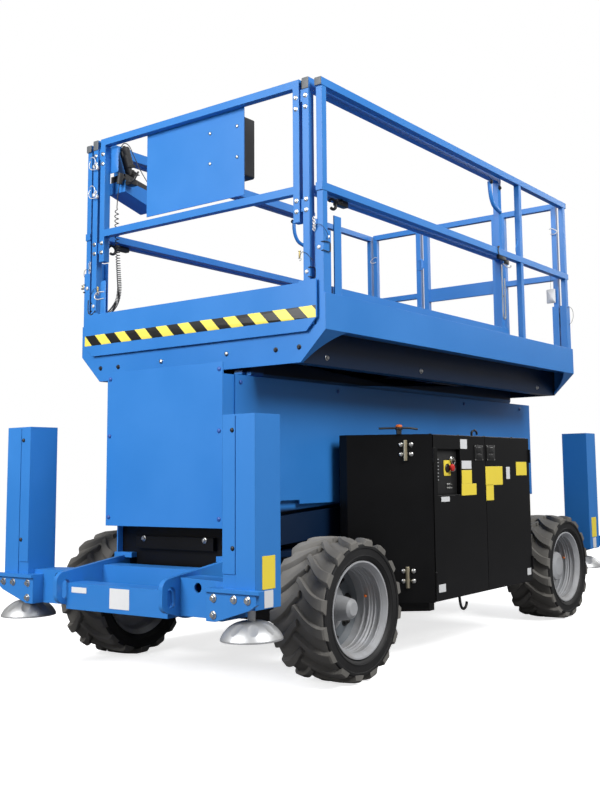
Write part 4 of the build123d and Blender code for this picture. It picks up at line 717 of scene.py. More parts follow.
@dataclass
class Finishes:
    """Every material of the machine, made once."""

    effects: SharedEffects = field(default_factory=SharedEffects)

    def __post_init__(self) -> None:
        """Make the materials."""
        table = (
            Coating(
                "Blue powder coat and painted shade", (0.026, 0.185, 0.54), (0.031, 0.200, 0.57), 0.34, dust=0.03,
                # painted shade: two near-black zones, under the deck and low in the stack, fitted to the
                # machine at rest
                dust_height=0.5, specular=0.4, painted_shade_zones=(
                    PaintedShadeZone(ahead=1.33, half_width=0.70, low=1.43, high=1.612),
                    PaintedShadeZone(ahead=1.44, half_width=0.47, low=0.20, high=0.765),
                )
            ),
            Coating(
                "Black module paint", (0.0030, 0.0030, 0.0034), (0.0042, 0.0042, 0.0046), 0.30, dust=0.01,
                dust_height=0.7, specular=0.22
            ),
            Coating(
                "Rim paint", (0.42, 0.43, 0.45), (0.36, 0.37, 0.385), 0.45, dust=0.4, dust_height=0.9,
                dust_colour=(0.22, 0.2, 0.18)
            ),
            Coating(
                "Galvanised steel", (0.55, 0.56, 0.57), (0.46, 0.47, 0.48), 0.42, metallic=0.7, grain=60.0,
                bump=0.15, dust=0.2
            ),
            Coating("Bright zinc", (0.66, 0.66, 0.64), (0.55, 0.55, 0.53), 0.28, metallic=1.0, dust=0.0),
            Coating("Yellow zinc", (0.56, 0.50, 0.36), (0.46, 0.40, 0.27), 0.35, metallic=0.9, dust=0.0),
            Coating("Brass", (0.62, 0.48, 0.2), (0.5, 0.38, 0.15), 0.3, metallic=1.0, dust=0.0),
            Coating("White metal", (0.72, 0.74, 0.76), (0.62, 0.64, 0.66), 0.3, metallic=0.3, dust=0.0),
            Coating("Dark steel", (0.05, 0.05, 0.052), (0.03, 0.03, 0.032), 0.4, metallic=0.7, dust=0.1),
            Coating("Blue fastener", (0.02, 0.085, 0.34), (0.026, 0.1, 0.38), 0.4, dust=0.0),
            Coating("Black fastener", (0.01, 0.01, 0.01), (0.014, 0.014, 0.014), 0.35, dust=0.0),
            Coating("Rod chrome", (0.72, 0.72, 0.73), (0.66, 0.66, 0.67), 0.12, metallic=1.0, dust=0.05),
            Coating(
                "Tyre rubber", (0.135, 0.130, 0.120), (0.19, 0.183, 0.170), 0.8, grain=150.0, bump=0.5,
                dust=0.25, dust_height=1.1, dust_colour=(0.16, 0.145, 0.125), specular=0.3
            ),
            Coating(
                "Tyre sidewall", (0.010, 0.010, 0.0105), (0.016, 0.016, 0.0165), 0.55, grain=90.0,
                bump=0.4, dust=0.08, dust_height=0.7, dust_colour=(0.13, 0.12, 0.11), specular=0.35
            ),
            Coating(
                "Wheel disc", (0.115, 0.13, 0.145), (0.135, 0.15, 0.165), 0.4, dust=0.05,
                dust_colour=(0.16, 0.15, 0.14)
            ),
            Coating("Cord jacket", (0.012, 0.012, 0.012), (0.018, 0.018, 0.018), 0.5, dust=0.05),
            Coating(
                "Control plastic", (0.012, 0.012, 0.013), (0.02, 0.02, 0.02), 0.55, grain=900.0, bump=0.2,
                dust=0.05
            ),
            Coating("Latch black", (0.009, 0.009, 0.009), (0.014, 0.014, 0.014), 0.4, dust=0.0),
            Coating("Cap plastic", (0.10, 0.11, 0.12), (0.12, 0.13, 0.14), 0.5, dust=0.0),
            Coating("White plate", (0.72, 0.73, 0.74), (0.66, 0.67, 0.68), 0.4, dust=0.1),
            Coating("Yellow plate", (0.88, 0.70, 0.06), (0.84, 0.66, 0.06), 0.4, dust=0.1),
            Coating("Red button", (0.62, 0.02, 0.015), (0.55, 0.02, 0.015), 0.35, dust=0.0),
            Coating("Orange cap", (0.75, 0.16, 0.01), (0.68, 0.14, 0.01), 0.4, dust=0.0),
        )
        self.by_name = {row.name: row.make(self.effects) for row in table}
        band = StripedBand("Hazard stripes", (0.88, 0.74, 0.11), (0.004, 0.004, 0.004), 0.157)
        self.by_name[band.name] = band.make(self.effects)

    def __getitem__(self, name: str) -> bpy.types.Material:
        """The material of a name."""
        return self.by_name[name]


# the blue nodes' finish is the blue coat with its near-black painted shade zones under the deck and low in
# the stack
SLOT_FINISHES = {
    "blue_paint": "Blue powder coat and painted shade", "black_paint": "Black module paint", "rim_paint": "Rim paint",
    "galvanised": "Galvanised steel", "tyre_rubber": "Tyre rubber", "chrome_rod": "Rod chrome",
    "battery_case": "Control plastic", "control_plastic": "Control plastic", "cord_jacket": "Cord jacket"
}


@dataclass
class CadNodes:
    """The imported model's own nodes, each dressed in the finish of its slot."""

    finishes: Finishes

    def dress(self) -> int:
        """Give every node its finish.

        Returns:
            How many nodes were dressed.
        """
        slots = {row["node"]: row["material_slot"] for row in frame["record"]["subparts"]}
        for name, node in frame["nodes"].items():
            finish = self.finishes[SLOT_FINISHES[slots[name]]]
            node.data.materials.clear()
            node.data.materials.append(finish)
        return len(frame["nodes"])


# ------------------------------------------------------------------ sub-assemblies
def both_sides(parts: Iterable[Surface]) -> list[Surface]:
    """Surfaces with their mirror images across the machine's centre plane."""
    parts = list(parts)
    return parts + [part.mirrored() for part in parts]


@dataclass
class Assembly:
    """A group of pieces: the finishes that they take and the pieces made so far."""

    finishes: Finishes
    made: list[bpy.types.Object] = field(default_factory=list, init=False)

    def add(
        self, name: str, parts: Iterable[Surface], finish: str, body: str, sharp: float = 40.0
    ) -> bpy.types.Object:
        """Join surfaces into one piece.

        Args:
            name: The piece's name.
            parts: Its surfaces, in the machine's frame.
            finish: The name of its finish.
            body: The body that it rides on.
            sharp: Edges that turn by more than this, in degrees, stay sharp.

        Returns:
            The piece.
        """
        piece = add_piece(name, joined(parts), self.finishes[finish], body, sharp)
        self.made.append(piece)
        return piece

    def pair(self, name: str, parts: Iterable[Surface], finish: str, body: str) -> bpy.types.Object:
        """Join surfaces and their mirror images into one piece, as add does."""
        return self.add(name, both_sides(parts), finish, body)


def plate(width: float, height: float, thickness: float = 0.0012, corner: float = 0.003) -> Surface:
    """Thin plate with round corners, standing on z = 0."""
    return soft_block((width, height, thickness), corner, thickness * 0.4, 2)


@dataclass
class HandsetCord(Assembly):
    """Curly cord from the control handset to the sliding deck, as one wire wound along the cord's route.

    The wire's point at distance s along the route is p + r (cos a n + sin a b): n points forward,
    b = t x n, r grows from 0 after the plain lead, and a gains 2 pi per pitch, which shortens downwards.
    """

    route: tuple[tuple[float, float, float], ...] = (
        (1.300, -0.615, 2.545), (1.300, -0.638, 2.432), (1.300, -0.626, 2.230), (1.300, -0.612, 2.050),
        (1.300, -0.598, 1.930), (1.300, -0.645, 1.847), (1.300, -0.730, 1.808)
    )
    outer_radius: float = 0.0130
    wire_radius: float = 0.0025
    lead: float = 0.130
    open_pitch: float = 0.030
    close_pitch: float = 0.0082
    close_from: float = 0.62
    points_per_turn: int = 14
    samples: int = 4000
    rise: float = 0.03
    fall: float = 0.02

    def curve(self, name: str, points: np.ndarray) -> bpy.types.Object:
        """Open NURBS curve of order 3 with the points as its control points.

        Args:
            name: The object's name.
            points: Control points (n, 3).

        Returns:
            The curve object.
        """
        data = bpy.data.curves.new(name, "CURVE")
        data.dimensions = "3D"
        spline = data.splines.new("NURBS")
        spline.points.add(len(points) - 1)
        spline.points.foreach_set("co", np.column_stack([points, np.ones(len(points))]).ravel())
        spline.order_u = 3
        spline.use_endpoint_u = True
        return bpy.data.objects.new(name, data)

    def followed(self, line: bpy.types.Object) -> np.ndarray:
        """Points along a curve, as Blender evaluates it without a bevel."""
        bpy.context.scene.collection.objects.link(line)
        mesh = bpy.data.meshes.new_from_object(line)
        points = np.zeros(3 * len(mesh.vertices))
        mesh.vertices.foreach_get("co", points)
        bpy.context.scene.collection.objects.unlink(line)
        bpy.data.meshes.remove(mesh)
        return points.reshape(-1, 3)

    def winding(self, centre: np.ndarray) -> np.ndarray:
        """Points of the wire round the route's centre line.

        Args:
            centre: Points of the route, from the handset on.

        Returns:
            Points (n, 3).
        """
        along = np.concatenate([[0], np.linalg.norm(np.diff(centre, axis=0), axis=1).cumsum()])
        fine = np.linspace(0, along[-1], self.samples)
        share = np.clip((fine - self.lead) / (self.close_from - self.lead), 0, 1)
        pitch = self.open_pitch + (self.close_pitch - self.open_pitch) * (1 - (1 - share) ** 1.25)
        angle = np.concatenate([[0], (2 * np.pi / pitch[1:] * np.diff(fine)).cumsum()])
        count = int(angle[-1] / (2 * np.pi) * self.points_per_turn)
        turn = np.linspace(0, angle[-1], count)
        place = np.interp(turn, angle, fine)
        point = np.stack([np.interp(place, along, centre[:, k]) for k in range(3)], axis=-1)
        tangent = np.gradient(point, axis=0)
        tangent /= np.linalg.norm(tangent, axis=1, keepdims=True)
        normal = np.array([1.0, 0.0, 0.0])
        sideways = np.cross(tangent, normal)
        full = np.clip(
            (place - self.lead) / self.rise, 0, 1
        ) * np.clip((along[-1] - place) / self.fall, 0, 1)
        radius = (self.outer_radius - self.wire_radius) * (full * full * (3 - 2 * full))[:, None]
        return point + radius * (np.cos(turn)[:, None] * normal + np.sin(turn)[:, None] * sideways)

    def build(self) -> None:
        centre = self.followed(self.curve("handset_cord_route", np.array(self.route)))
        cord = self.curve("handset_cord", self.winding(centre))
        cord.data.resolution_u = 2
        wire_line = self.followed(cord)
        cord.data.bevel_depth = self.wire_radius
        cord.data.bevel_resolution = 2
        cord.data.use_fill_caps = True
        cord.data.materials.append(self.finishes["Cord jacket"])
        bpy.context.scene.collection.objects.link(cord)
        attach(cord, "extension")
        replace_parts(cord, "control_cord")
        self.made.append(cord)


def wheels() -> Iterator[tuple[str, Vector, bool]]:
    """Each wheel's name, its centre as if it were on the left, and whether it is on the right."""
    for name in ("front_left", "front_right", "rear_left", "rear_right"):
        low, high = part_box(f"tyre_{name}")
        middle = (low + high) / 2
        yield name, Vector((middle.x, abs(middle.y), middle.z)), middle.y < 0


def on_wheel(shape: Surface, centre: Vector, right: bool) -> Surface:
    """A surface laid along +Y at a wheel's centre, and mirrored for a wheel on the right."""
    placed = shape.placed(centre, Axis.LEFT)
    return placed.mirrored() if right else placed


@dataclass
class Tyres(Assembly):
    """Lugged tyres: a ringed carcass and slanting bars from the tread's middle to the shoulders.

    At share t of the way to the shoulder, a bar's centre lies sweep (1 - (1 - t)^1.9) along the
    tread. Its top falls slightly towards the shoulder and its foot lies inside the tread floor.
    """

    radius: float = 0.325
    half_width: float = 0.150
    lugs_per_side: int = 16
    lug_width: float = 0.046
    lug_foot: float = 0.058
    sweep: float = 0.105
    lug_start: float = -0.034
    lug_ease: float = 0.0032
    lug_stations: tuple[float, ...] = (
        -0.012, -0.006, 0.02, 0.04, 0.06, 0.08, 0.1, 0.12, 0.135, 0.143, 0.1485, 0.150
    )
    sidewall: tuple[tuple[float, float], ...] = (
        # radius, distance from the tyre's middle plane
        (0.2045, 0.1120), (0.2215, 0.1275), (0.2290, 0.1375), (0.2360, 0.1432), (0.2390, 0.1440),
        (0.2395, 0.1462), (0.2440, 0.1468), (0.2445, 0.1448), (0.2600, 0.1444), (0.2745, 0.1440),
        (0.2755, 0.1472), (0.2860, 0.1480), (0.2905, 0.1462), (0.2930, 0.1400), (0.2935, 0.1200),
    )
    tread: tuple[tuple[float, float], ...] = (
        (0.2900, 0.1385), (0.2955, 0.1375), (0.2990, 0.1280), (0.3010, 0.0900), (0.3020, 0.0400)
    )

    def ringed(self, half: Sequence[tuple[float, float]]) -> Surface:
        """Closed section, a half and its mirror, turned about Z: (r, z) goes to (r cos a, r sin a, z)."""
        outer = np.array(half)
        loop = np.concatenate([outer, outer[::-1] * (1, -1)])
        angle = np.linspace(0, 2 * np.pi, 120, endpoint=False)[:, None]
        rings = np.stack([
            loop[:, 0] * np.cos(angle), loop[:, 0] * np.sin(angle), loop[:, 1] + 0 * angle
        ], axis=-1)
        return lofted(rings, looped=True)

    def lugs(self) -> Surface:
        """The outer half's bars: corner (r, w) at z goes to (r cos b, r sin b, z), with b = a + w / r."""
        half, z, ease = self.half_width, np.array(self.lug_stations), self.lug_ease
        share = np.clip(z / half, 0, 1)
        along = self.lug_start + self.sweep * (1 - (1 - share) ** 1.9)
        top = self.radius - np.interp(z, [0.0, 0.06, 0.12, 0.143, half], [0.0, 0.0, 0.003, 0.009, 0.016])
        foot = np.interp(z, [0.1, 0.135, half], [0.2970, 0.2930, 0.2860])
        narrow = np.interp(z, [-0.012, 0.05, half], [0.62, 0.95, 1.12])
        wide, root = self.lug_width / 2 * narrow, self.lug_foot / 2 * narrow
        offset = np.stack([-root, -wide, ease - wide, wide - ease, wide, root], axis=-1)
        reach = np.stack([foot, top - ease, top, top, top - ease, foot], axis=-1)
        angle = (along[:, None] + offset) / reach
        start = np.pi / 2 + np.arange(self.lugs_per_side) * 2 * np.pi / self.lugs_per_side
        angle = start[:, None, None] + angle[None]
        rings = np.stack([
            reach * np.cos(angle), reach * np.sin(angle), np.broadcast_to(z[:, None], angle.shape)
        ], axis=-1)
        return joined([lofted(ring) for ring in rings])

    def tread_ring(self) -> Surface:
        """Tread floor with both halves' bars, the inner ones half a pitch round."""
        bars = self.lugs()
        step = Matrix.Rotation(math.pi / self.lugs_per_side, 4, "Z")
        turned = bars.moved(step)
        inner = Surface(turned.points * (1.0, 1.0, -1.0), turned.quads[:, ::-1], turned.triangles[:, ::-1])
        return joined([self.ringed(self.tread), bars, inner])

    def build(self) -> None:
        """Put a tyre on each wheel, in place of the plain one."""
        table = (
            ("sidewall", self.ringed(self.sidewall), "Tyre sidewall"),
            ("tread", self.tread_ring(), "Tyre rubber")
        )
        for name, centre, right in wheels():
            for label, shape, finish in table:
                part = on_wheel(shape, centre, right)
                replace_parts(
                    self.add(f"tyre_{name}_{label}", [part], finish, f"wheel_{name}", 30.0), f"tyre_{name}"
                )


@dataclass
class WheelHardware(Assembly):
    """Nuts with studs, the valve, raised rings in the barrel and a dark disc, on every wheel."""

    nuts: int = 8
    circle: float = 0.142
    disc: float = -0.050
    nut: float = 0.0165
    ring_table: tuple[tuple[float, float, float, float], ...] = (
        # barrel radius, distance out from the wheel's middle plane, width, height
        (0.1955, 0.106, 0.014, 0.0035), (0.1955, 0.077, 0.010, 0.0060),
        (0.1860, 0.048, 0.012, 0.0050), (0.1860, 0.018, 0.014, 0.0040),
    )

    def ring(self, radius: float, z: float, width: float, height: float) -> Surface:
        """Raised ring on the barrel's inside: a closed section turned about Z.

        Args:
            radius: The barrel's radius there.
            z: Middle of the ring.
            width: Its width along the axle.
            height: How far it stands in from the barrel.

        Returns:
            The ring.
        """
        half, sunk = width / 2, 0.0006
        return revolved([
            (radius + sunk, z - half), (radius - height, z - half * 0.55),
            (radius - height, z + half * 0.55), (radius + sunk, z + half)
        ], 72, closed=True)

    def build(self) -> None:
        """Make the four groups of every wheel."""
        stud = revolved([(0.0075, 0.016), (0.0075, 0.027), (0.006, 0.029)], 10)
        nut = joined([hex_bolt(self.nut), stud])
        angle = np.arange(self.nuts) * 2 * np.pi / self.nuts + 0.2
        nuts = [
            nut.moved(Matrix.Translation((self.circle * math.cos(a), self.circle * math.sin(a), self.disc)))
            for a in angle
        ]
        stem = revolved([(0.0045, 0.0), (0.0045, 0.03), (0.006, 0.031), (0.006, 0.042), (0.003, 0.045)], 10)
        valve = stem.moved(Matrix.Translation((0.176, 0.04, 0.03)) @ Matrix.Rotation(-0.9, 4, "Y"))
        rings = [self.ring(radius, z, width, height) for radius, z, width, height in self.ring_table]
        dish = revolved([
            (0.1165, self.disc + 0.0002), (0.1165, self.disc + 0.0012), (0.1672, self.disc + 0.0012),
            (0.1852, self.disc + 0.0262), (0.1856, self.disc + 0.0255), (0.1676, self.disc + 0.0004)
        ], 72, closed=True)
        table = (
            ("nuts", joined(nuts), "Dark steel"), ("valve", valve, "Orange cap"),
            ("rings", joined(rings), "Rim paint"), ("disc", dish, "Wheel disc")
        )
        for name, centre, right in wheels():
            for label, shape, finish in table:
                self.add(f"wheel_{label}_{name}", [on_wheel(shape, centre, right)], finish, f"wheel_{name}")


@dataclass
class HazardBand(Assembly):
    """Striped band across the sliding deck's front panel."""

    foot: float = 1.650
    height: float = 0.056

    def build(self) -> None:
        """Make the band."""
        low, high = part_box("extension_deck")
        band = plate(high.y - low.y - 0.006, self.height, 0.0008, 0.001)
        self.add(
            "hazard_band", [band.placed((high.x, 0.0, self.foot + self.height / 2), Axis.FORWARD)],
            "Hazard stripes", "extension"
        )


@dataclass
class FastenerRow:
    """Bolts of one kind on one flat face."""

    name: str
    body: str
    axis: Axis
    kind: str
    size: float
    finish: str
    places: tuple[tuple[float, float, float], ...]
    mirrored: bool = True


@dataclass
class Fasteners(Assembly):
    """Bolt heads over the whole machine, one piece a row."""

    def rows(self) -> list[FastenerRow]:
        """Every row, with places worked out from the nodes that carry them."""
        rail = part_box("extension_rails")[1].x
        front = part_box("platform_deck")[1].x
        wall_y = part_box("side_walls")[1].y
        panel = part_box("front_panel")[1]
        socket_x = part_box("outrigger_beams")[1].x - 0.012
        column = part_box("outrigger_columns")[1]
        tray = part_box("module_trays")[1]
        sheet_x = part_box("front_sheet")[1].x
        stations = (-1.49, -0.69, 0.67, 1.434)
        return [
            FastenerRow(
                "frame_post_bolts", "extension", Axis.FORWARD, "hex", 0.0085, "Bright zinc",
                tuple((rail, y, z) for y in (0.683, 0.741) for z in (2.713, 2.658, 2.212, 2.160))
            ),
            FastenerRow(
                "sheet_bolts", "extension", Axis.FORWARD, "dome", 0.0095, "Bright zinc",
                tuple((sheet_x, y, z) for y in (0.091, 0.276) for z in (2.675, 2.516)), False
            ),
            FastenerRow(
                "deck_plate_bolts", "platform", Axis.FORWARD, "dome", 0.0125, "Bright zinc",
                ((front, -0.221, 1.526), (front, 0.233, 1.528)), False
            ),
            FastenerRow(
                "deck_corner_bolts", "platform", Axis.FORWARD, "hex", 0.009, "Dark steel",
                ((front, 0.545, 1.522), (front, 0.685, 1.524))
            ),
            FastenerRow(
                "wall_bolts", "chassis", Axis.LEFT, "dome", 0.011, "Blue fastener",
                tuple((x, wall_y, 1.374) for x in stations)
            ),
            FastenerRow(
                "panel_bolts", "chassis", Axis.FORWARD, "dome", 0.011, "Blue fastener",
                tuple((panel.x, y, z) for y in (0.372,) for z in (0.745, 1.145, 1.43))
            ),
            FastenerRow(
                "column_bolts", "chassis", Axis.FORWARD, "dome", 0.010, "Dark steel",
                ((column.x, 0.697, 1.129), (column.x, 0.700, 0.643))
            ),
            FastenerRow(
                "socket_bolts", "chassis", Axis.FORWARD, "hex", 0.0125, "Bright zinc",
                (
                    (socket_x, 0.612, 0.440), (socket_x, 0.725, 0.440), (socket_x, 0.800, 0.440),
                    (socket_x, 0.612, 0.372)
                )
            ),
            FastenerRow(
                "cross_cover_bolts", "chassis", Axis.FORWARD, "hex", 0.010, "Bright zinc",
                ((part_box("front_bulkhead")[1].x, 0.205, 0.640),)
            ),
            FastenerRow(
                "beam_bolts", "platform", Axis.LEFT, "hex", 0.010, "Bright zinc",
                ((-1.167, 0.692, 1.490), (1.150, 0.692, 1.490), (0.300, 0.692, 1.490))
            ),
            FastenerRow(
                "tray_top_bolts", "chassis", Axis.UP, "dome", 0.010, "Black fastener",
                tuple((x, 0.80, tray.z) for x in (-0.55, -0.2, 0.1, 0.4))
            )
        ]

    def head(self, row: FastenerRow) -> Surface:
        """The bolt head that a row uses."""
        return hex_bolt(row.size) if row.kind == "hex" else dome_bolt(row.size)

    def build(self) -> None:
        """Make every row."""
        for row in self.rows():
            head = self.head(row)
            turns = 0.4 + np.arange(len(row.places)) * 1.1
            parts = [head.placed(place, row.axis, turn) for place, turn in zip(row.places, turns)]
            if row.mirrored:
                parts = both_sides(parts)
            self.add(row.name, parts, row.finish, row.body)


@dataclass
class PlateRow:
    """A blank plate: centre, size and finish on one face."""

    name: str
    body: str
    axis: Axis
    centre: tuple[float, float, float]
    width: float
    height: float
    finish: str


@dataclass
class BlankPlates(Assembly):
    """Blank plates on doors, columns and the frame."""

    def rows(self) -> list[PlateRow]:
        """Every plate, with the face that carries it."""
        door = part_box("door_left_front")[1].y - DOOR_RECESS
        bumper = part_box("chassis_frame")[1].x - 0.055
        on_doors = (
            # name, door, x, z, width, height, finish
            ("serial", "front", 0.166, 1.090, 0.074, 0.052, "White plate"),
            ("red_edge", "front", 0.139, 0.978, 0.108, 0.044, "White plate"),
            ("upper_yellow", "front", 0.139, 0.913, 0.112, 0.074, "Yellow plate"),
            ("lower_yellow", "front", 0.117, 0.845, 0.165, 0.062, "Yellow plate"),
            ("under_window", "front", 0.372, 0.800, 0.086, 0.026, "White plate"),
            ("door_foot", "front", 0.425, 0.350, 0.070, 0.040, "White plate"),
            ("large_yellow", "rear", -0.178, 0.916, 0.206, 0.105, "Yellow plate"),
            ("small_yellow", "rear", -0.123, 0.823, 0.090, 0.088, "Yellow plate"),
            ("tall_white", "rear", -0.352, 0.930, 0.047, 0.070, "White plate"),
            ("rear_yellow", "rear", -0.528, 0.954, 0.140, 0.080, "Yellow plate"),
            ("rear_foot", "rear", -0.590, 0.345, 0.050, 0.040, "White plate"),
        )
        on_bumper = (
            ("frame_tall", 0.030, 0.400, 0.130, 0.090), ("frame_small", -0.245, 0.425, 0.105, 0.026)
        )
        rows = [
            PlateRow(f"plate_{name}", f"door_left_{part}", Axis.LEFT, (x, door, z), width, height, finish)
            for name, part, x, z, width, height, finish in on_doors
        ]
        rows += [
            PlateRow(f"plate_{name}", "chassis", Axis.FORWARD, (bumper, y, z), width, height, "White plate")
            for name, y, z, width, height in on_bumper
        ]
        return rows + self.column_rows()

    def column_rows(self) -> list[PlateRow]:
        """Two plates on each outrigger column's outer face."""
        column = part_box("outrigger_columns")[1]
        on_columns = (
            ("column", 0.545, 0.082, 0.135, "Yellow plate"),
            ("column_foot", 0.438, 0.056, 0.070, "White plate")
        )
        return [
            PlateRow(
                f"plate_{name}_{end}_{side}", "chassis", axis, (x * (column.x - 0.083), y * column.y, z),
                width, height, finish
            )
            for end, x in (("front", 1), ("rear", -1))
            for side, y, axis in (("left", 1, Axis.LEFT), ("right", -1, Axis.RIGHT))
            for name, z, width, height, finish in on_columns
        ]

    def build(self) -> None:
        """Make every plate."""
        for row in self.rows():
            part = plate(row.width, row.height).placed(row.centre, row.axis)
            self.add(row.name, [part], row.finish, row.body, 12.0)


@dataclass
class ModuleHardware(Assembly):
    """Hinges on the bevelled corner, door latches, the control window's contents, hook and top lever."""

    bevel_start: tuple[float, float] = (0.494, 0.8703)
    bevel_end: tuple[float, float] = (0.740, 0.505)

    def on_bevel(self, share: float, z: float) -> Matrix:
        """Placement on the bevelled face at a share of its width.

        Args:
            share: 0 at the door's corner, 1 at the frame.
            z: Height.

        Returns:
            A placement whose Z points out of the face.
        """
        start, end = np.array(self.bevel_start), np.array(self.bevel_end)
        point = start + share * (end - start)
        run = end - start
        return facing((-run[1], run[0], 0.0), (point[0], point[1], z))

    def hinges(self) -> None:
        """Zinc barrels with domed bolts either side."""
        barrel, bolts = [], []
        for foot in (0.360, 1.001):
            knuckles = revolved([(0.0085, 0.0), (0.0105, 0.002), (0.0105, 0.105), (0.0085, 0.107)], 16)
            upright = Matrix.Translation((0, 0, 0.008)) @ Matrix.Rotation(-math.pi / 2, 4, "X")
            barrel.append(knuckles.moved(self.on_bevel(0.317, foot) @ upright))
            for share in (0.247, 0.365):
                for rise in (0.034, 0.084):
                    bolts.append(dome_bolt(0.0125).moved(self.on_bevel(share, foot + rise)))
        self.pair("tray_hinge_barrels", barrel, "Yellow zinc", "chassis")
        self.pair("tray_hinge_bolts", bolts, "Bright zinc", "chassis")

    def latches(self) -> None:
        """Square latches: a raised frame, two paddles in its recess and four screws."""
        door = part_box("door_left_front")[1].y - DOOR_RECESS
        height = 1.043
        latch = joined([
            plate(0.098, 0.088, 0.004, 0.006),
            plate(0.054, 0.030, 0.007, 0.004).moved(Matrix.Translation((0, 0.018, 0))),
            plate(0.054, 0.026, 0.007, 0.004).moved(Matrix.Translation((0, -0.018, 0)))
        ])
        for name, x in (("door_left_front", 0.000), ("door_left_rear", -0.142)):
            left = latch.placed((x, door, height), Axis.LEFT)
            screws = [
                dome_bolt(0.0065).placed((x + dx, door + 0.0005, height + dz), Axis.LEFT)
                for dx in (-0.042, 0.042)
                for dz in (-0.037, 0.037)
            ]
            self.add(f"latch_{name}", [left], "Latch black", name)
            self.add(f"latch_screws_{name}", screws, "Bright zinc", name)
            other = name.replace("left", "right")
            self.add(f"latch_{other}", [left.mirrored()], "Latch black", other)
            self.add(f"latch_screws_{other}", [screw.mirrored() for screw in screws], "Bright zinc", other)

    def control_panel(self) -> None:
        """Face of the ground controls: yellow square with its red knob, key switch and small toggles."""
        low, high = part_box("ground_controls")
        face = high.y
        bezel_depth, bezel_height = 0.003, 0.941
        bezel = plate(0.236, 0.232, bezel_depth, 0.012)
        bezel = bezel.placed(((low.x + high.x) / 2, face, bezel_height), Axis.LEFT)
        self.add("control_face", [bezel], "Latch black", "chassis")
        front = face + bezel_depth
        square = plate(0.072, 0.082, 0.002, 0.005).placed((0.310, front, 0.962), Axis.LEFT)
        self.add("stop_plate", [square], "Yellow plate", "chassis")
        ring = revolved([(0.022, 0.0), (0.024, 0.002), (0.020, 0.006)], 28)
        ring = ring.placed((0.312, front + 0.002, 0.962), Axis.LEFT)
        self.add("stop_ring", [ring], "Latch black", "chassis")
        knob = revolved([
            (0.012, 0.0), (0.012, 0.012), (0.0185, 0.014), (0.0195, 0.018), (0.0185, 0.024), (0.012, 0.028),
            (0.003, 0.029)
        ], 24)
        knob = knob.placed((0.290, front + 0.0015, 0.964), Axis.LEFT)
        self.add("stop_knob", [knob], "Red button", "chassis")
        switch = revolved([
            (0.013, 0.0), (0.015, 0.002), (0.015, 0.008), (0.010, 0.012), (0.010, 0.018), (0.004, 0.019)
        ], 20)
        ring_path = arc((0.278, face + 0.024, 0.998), (0.018, 0, 0), (0, 0, 0.018), 13)
        pieces = [
            switch.placed((0.262, front, 0.955), Axis.LEFT),
            switch.placed((0.272, front, 1.010), Axis.LEFT), wire(ring_path, 0.0016, (0, 1, 0))
        ]
        self.add("key_switch", pieces, "Bright zinc", "chassis")
        toggle = revolved([
            (0.006, 0.0), (0.0065, 0.004), (0.003, 0.006), (0.003, 0.016), (0.001, 0.018)
        ], 12)
        toggles = [toggle.placed((x, front, z), Axis.LEFT) for x in (0.292, 0.312) for z in (0.858, 0.876)]
        self.add("toggles", toggles, "Bright zinc", "chassis")
        mark = plate(0.010, 0.004, 0.0008, 0.001)
        marks = [mark.placed((0.402, front, 0.900 + 0.018 * k), Axis.LEFT) for k in range(7)]
        self.add("panel_marks", marks, "White plate", "chassis")

    def hook_and_lever(self) -> None:
        """J hook under the left module, the lever on the bevel's top and the small catch over the doors."""
        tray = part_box("module_trays")
        foot = tray[0].z + 0.045
        y = 0.800
        hook = wire([
            (0.130, 0.0, 0.01), (0.126, 0.0, -0.03), (0.112, 0.0, -0.068), (0.085, 0.0, -0.082),
            (0.060, 0.0, -0.070), (0.050, 0.0, -0.048)
        ], 0.0075, (0, 1, 0), 10, start=(0, y, foot))
        root = soft_block((0.10, 0.05, 0.008), 0.004, 0.002).placed((0.13, y, foot - 0.008))
        self.add("lower_hook", [hook, root], "Latch black", "chassis")
        top = tray[1].z
        lever = wire([
            (0.665, 0.655, 0.030), (0.62, 0.70, 0.032), (0.56, 0.765, 0.032), (0.52, 0.80, 0.026)
        ], 0.0055, (0, 0, 1), 10, start=(0, 0, top))
        post = revolved([(0.014, 0.0), (0.014, 0.022), (0.020, 0.024), (0.020, 0.034), (0.016, 0.038)], 20)
        self.add("top_lever", [lever, post.placed((0.590, 0.730, top))], "Latch black", "chassis")
        cap = revolved([(0.017, 0.0), (0.018, 0.004), (0.015, 0.012), (0.006, 0.015)], 20)
        self.add("lever_cap", [cap.placed((0.590, 0.730, top + 0.036))], "Orange cap", "chassis")
        catch = wire([
            (0.010, 0.835, 0.0), (0.012, 0.838, 0.02), (-0.010, 0.842, 0.032), (-0.034, 0.842, 0.024),
            (-0.040, 0.842, 0.008)
        ], 0.006, (0, 1, 0), 10, start=(0, 0, top))
        self.add("top_catch", [catch], "Latch black", "chassis")

    def build(self) -> None:
        """Make every group."""
        self.hinges()
        self.latches()
        self.control_panel()
        self.hook_and_lever()


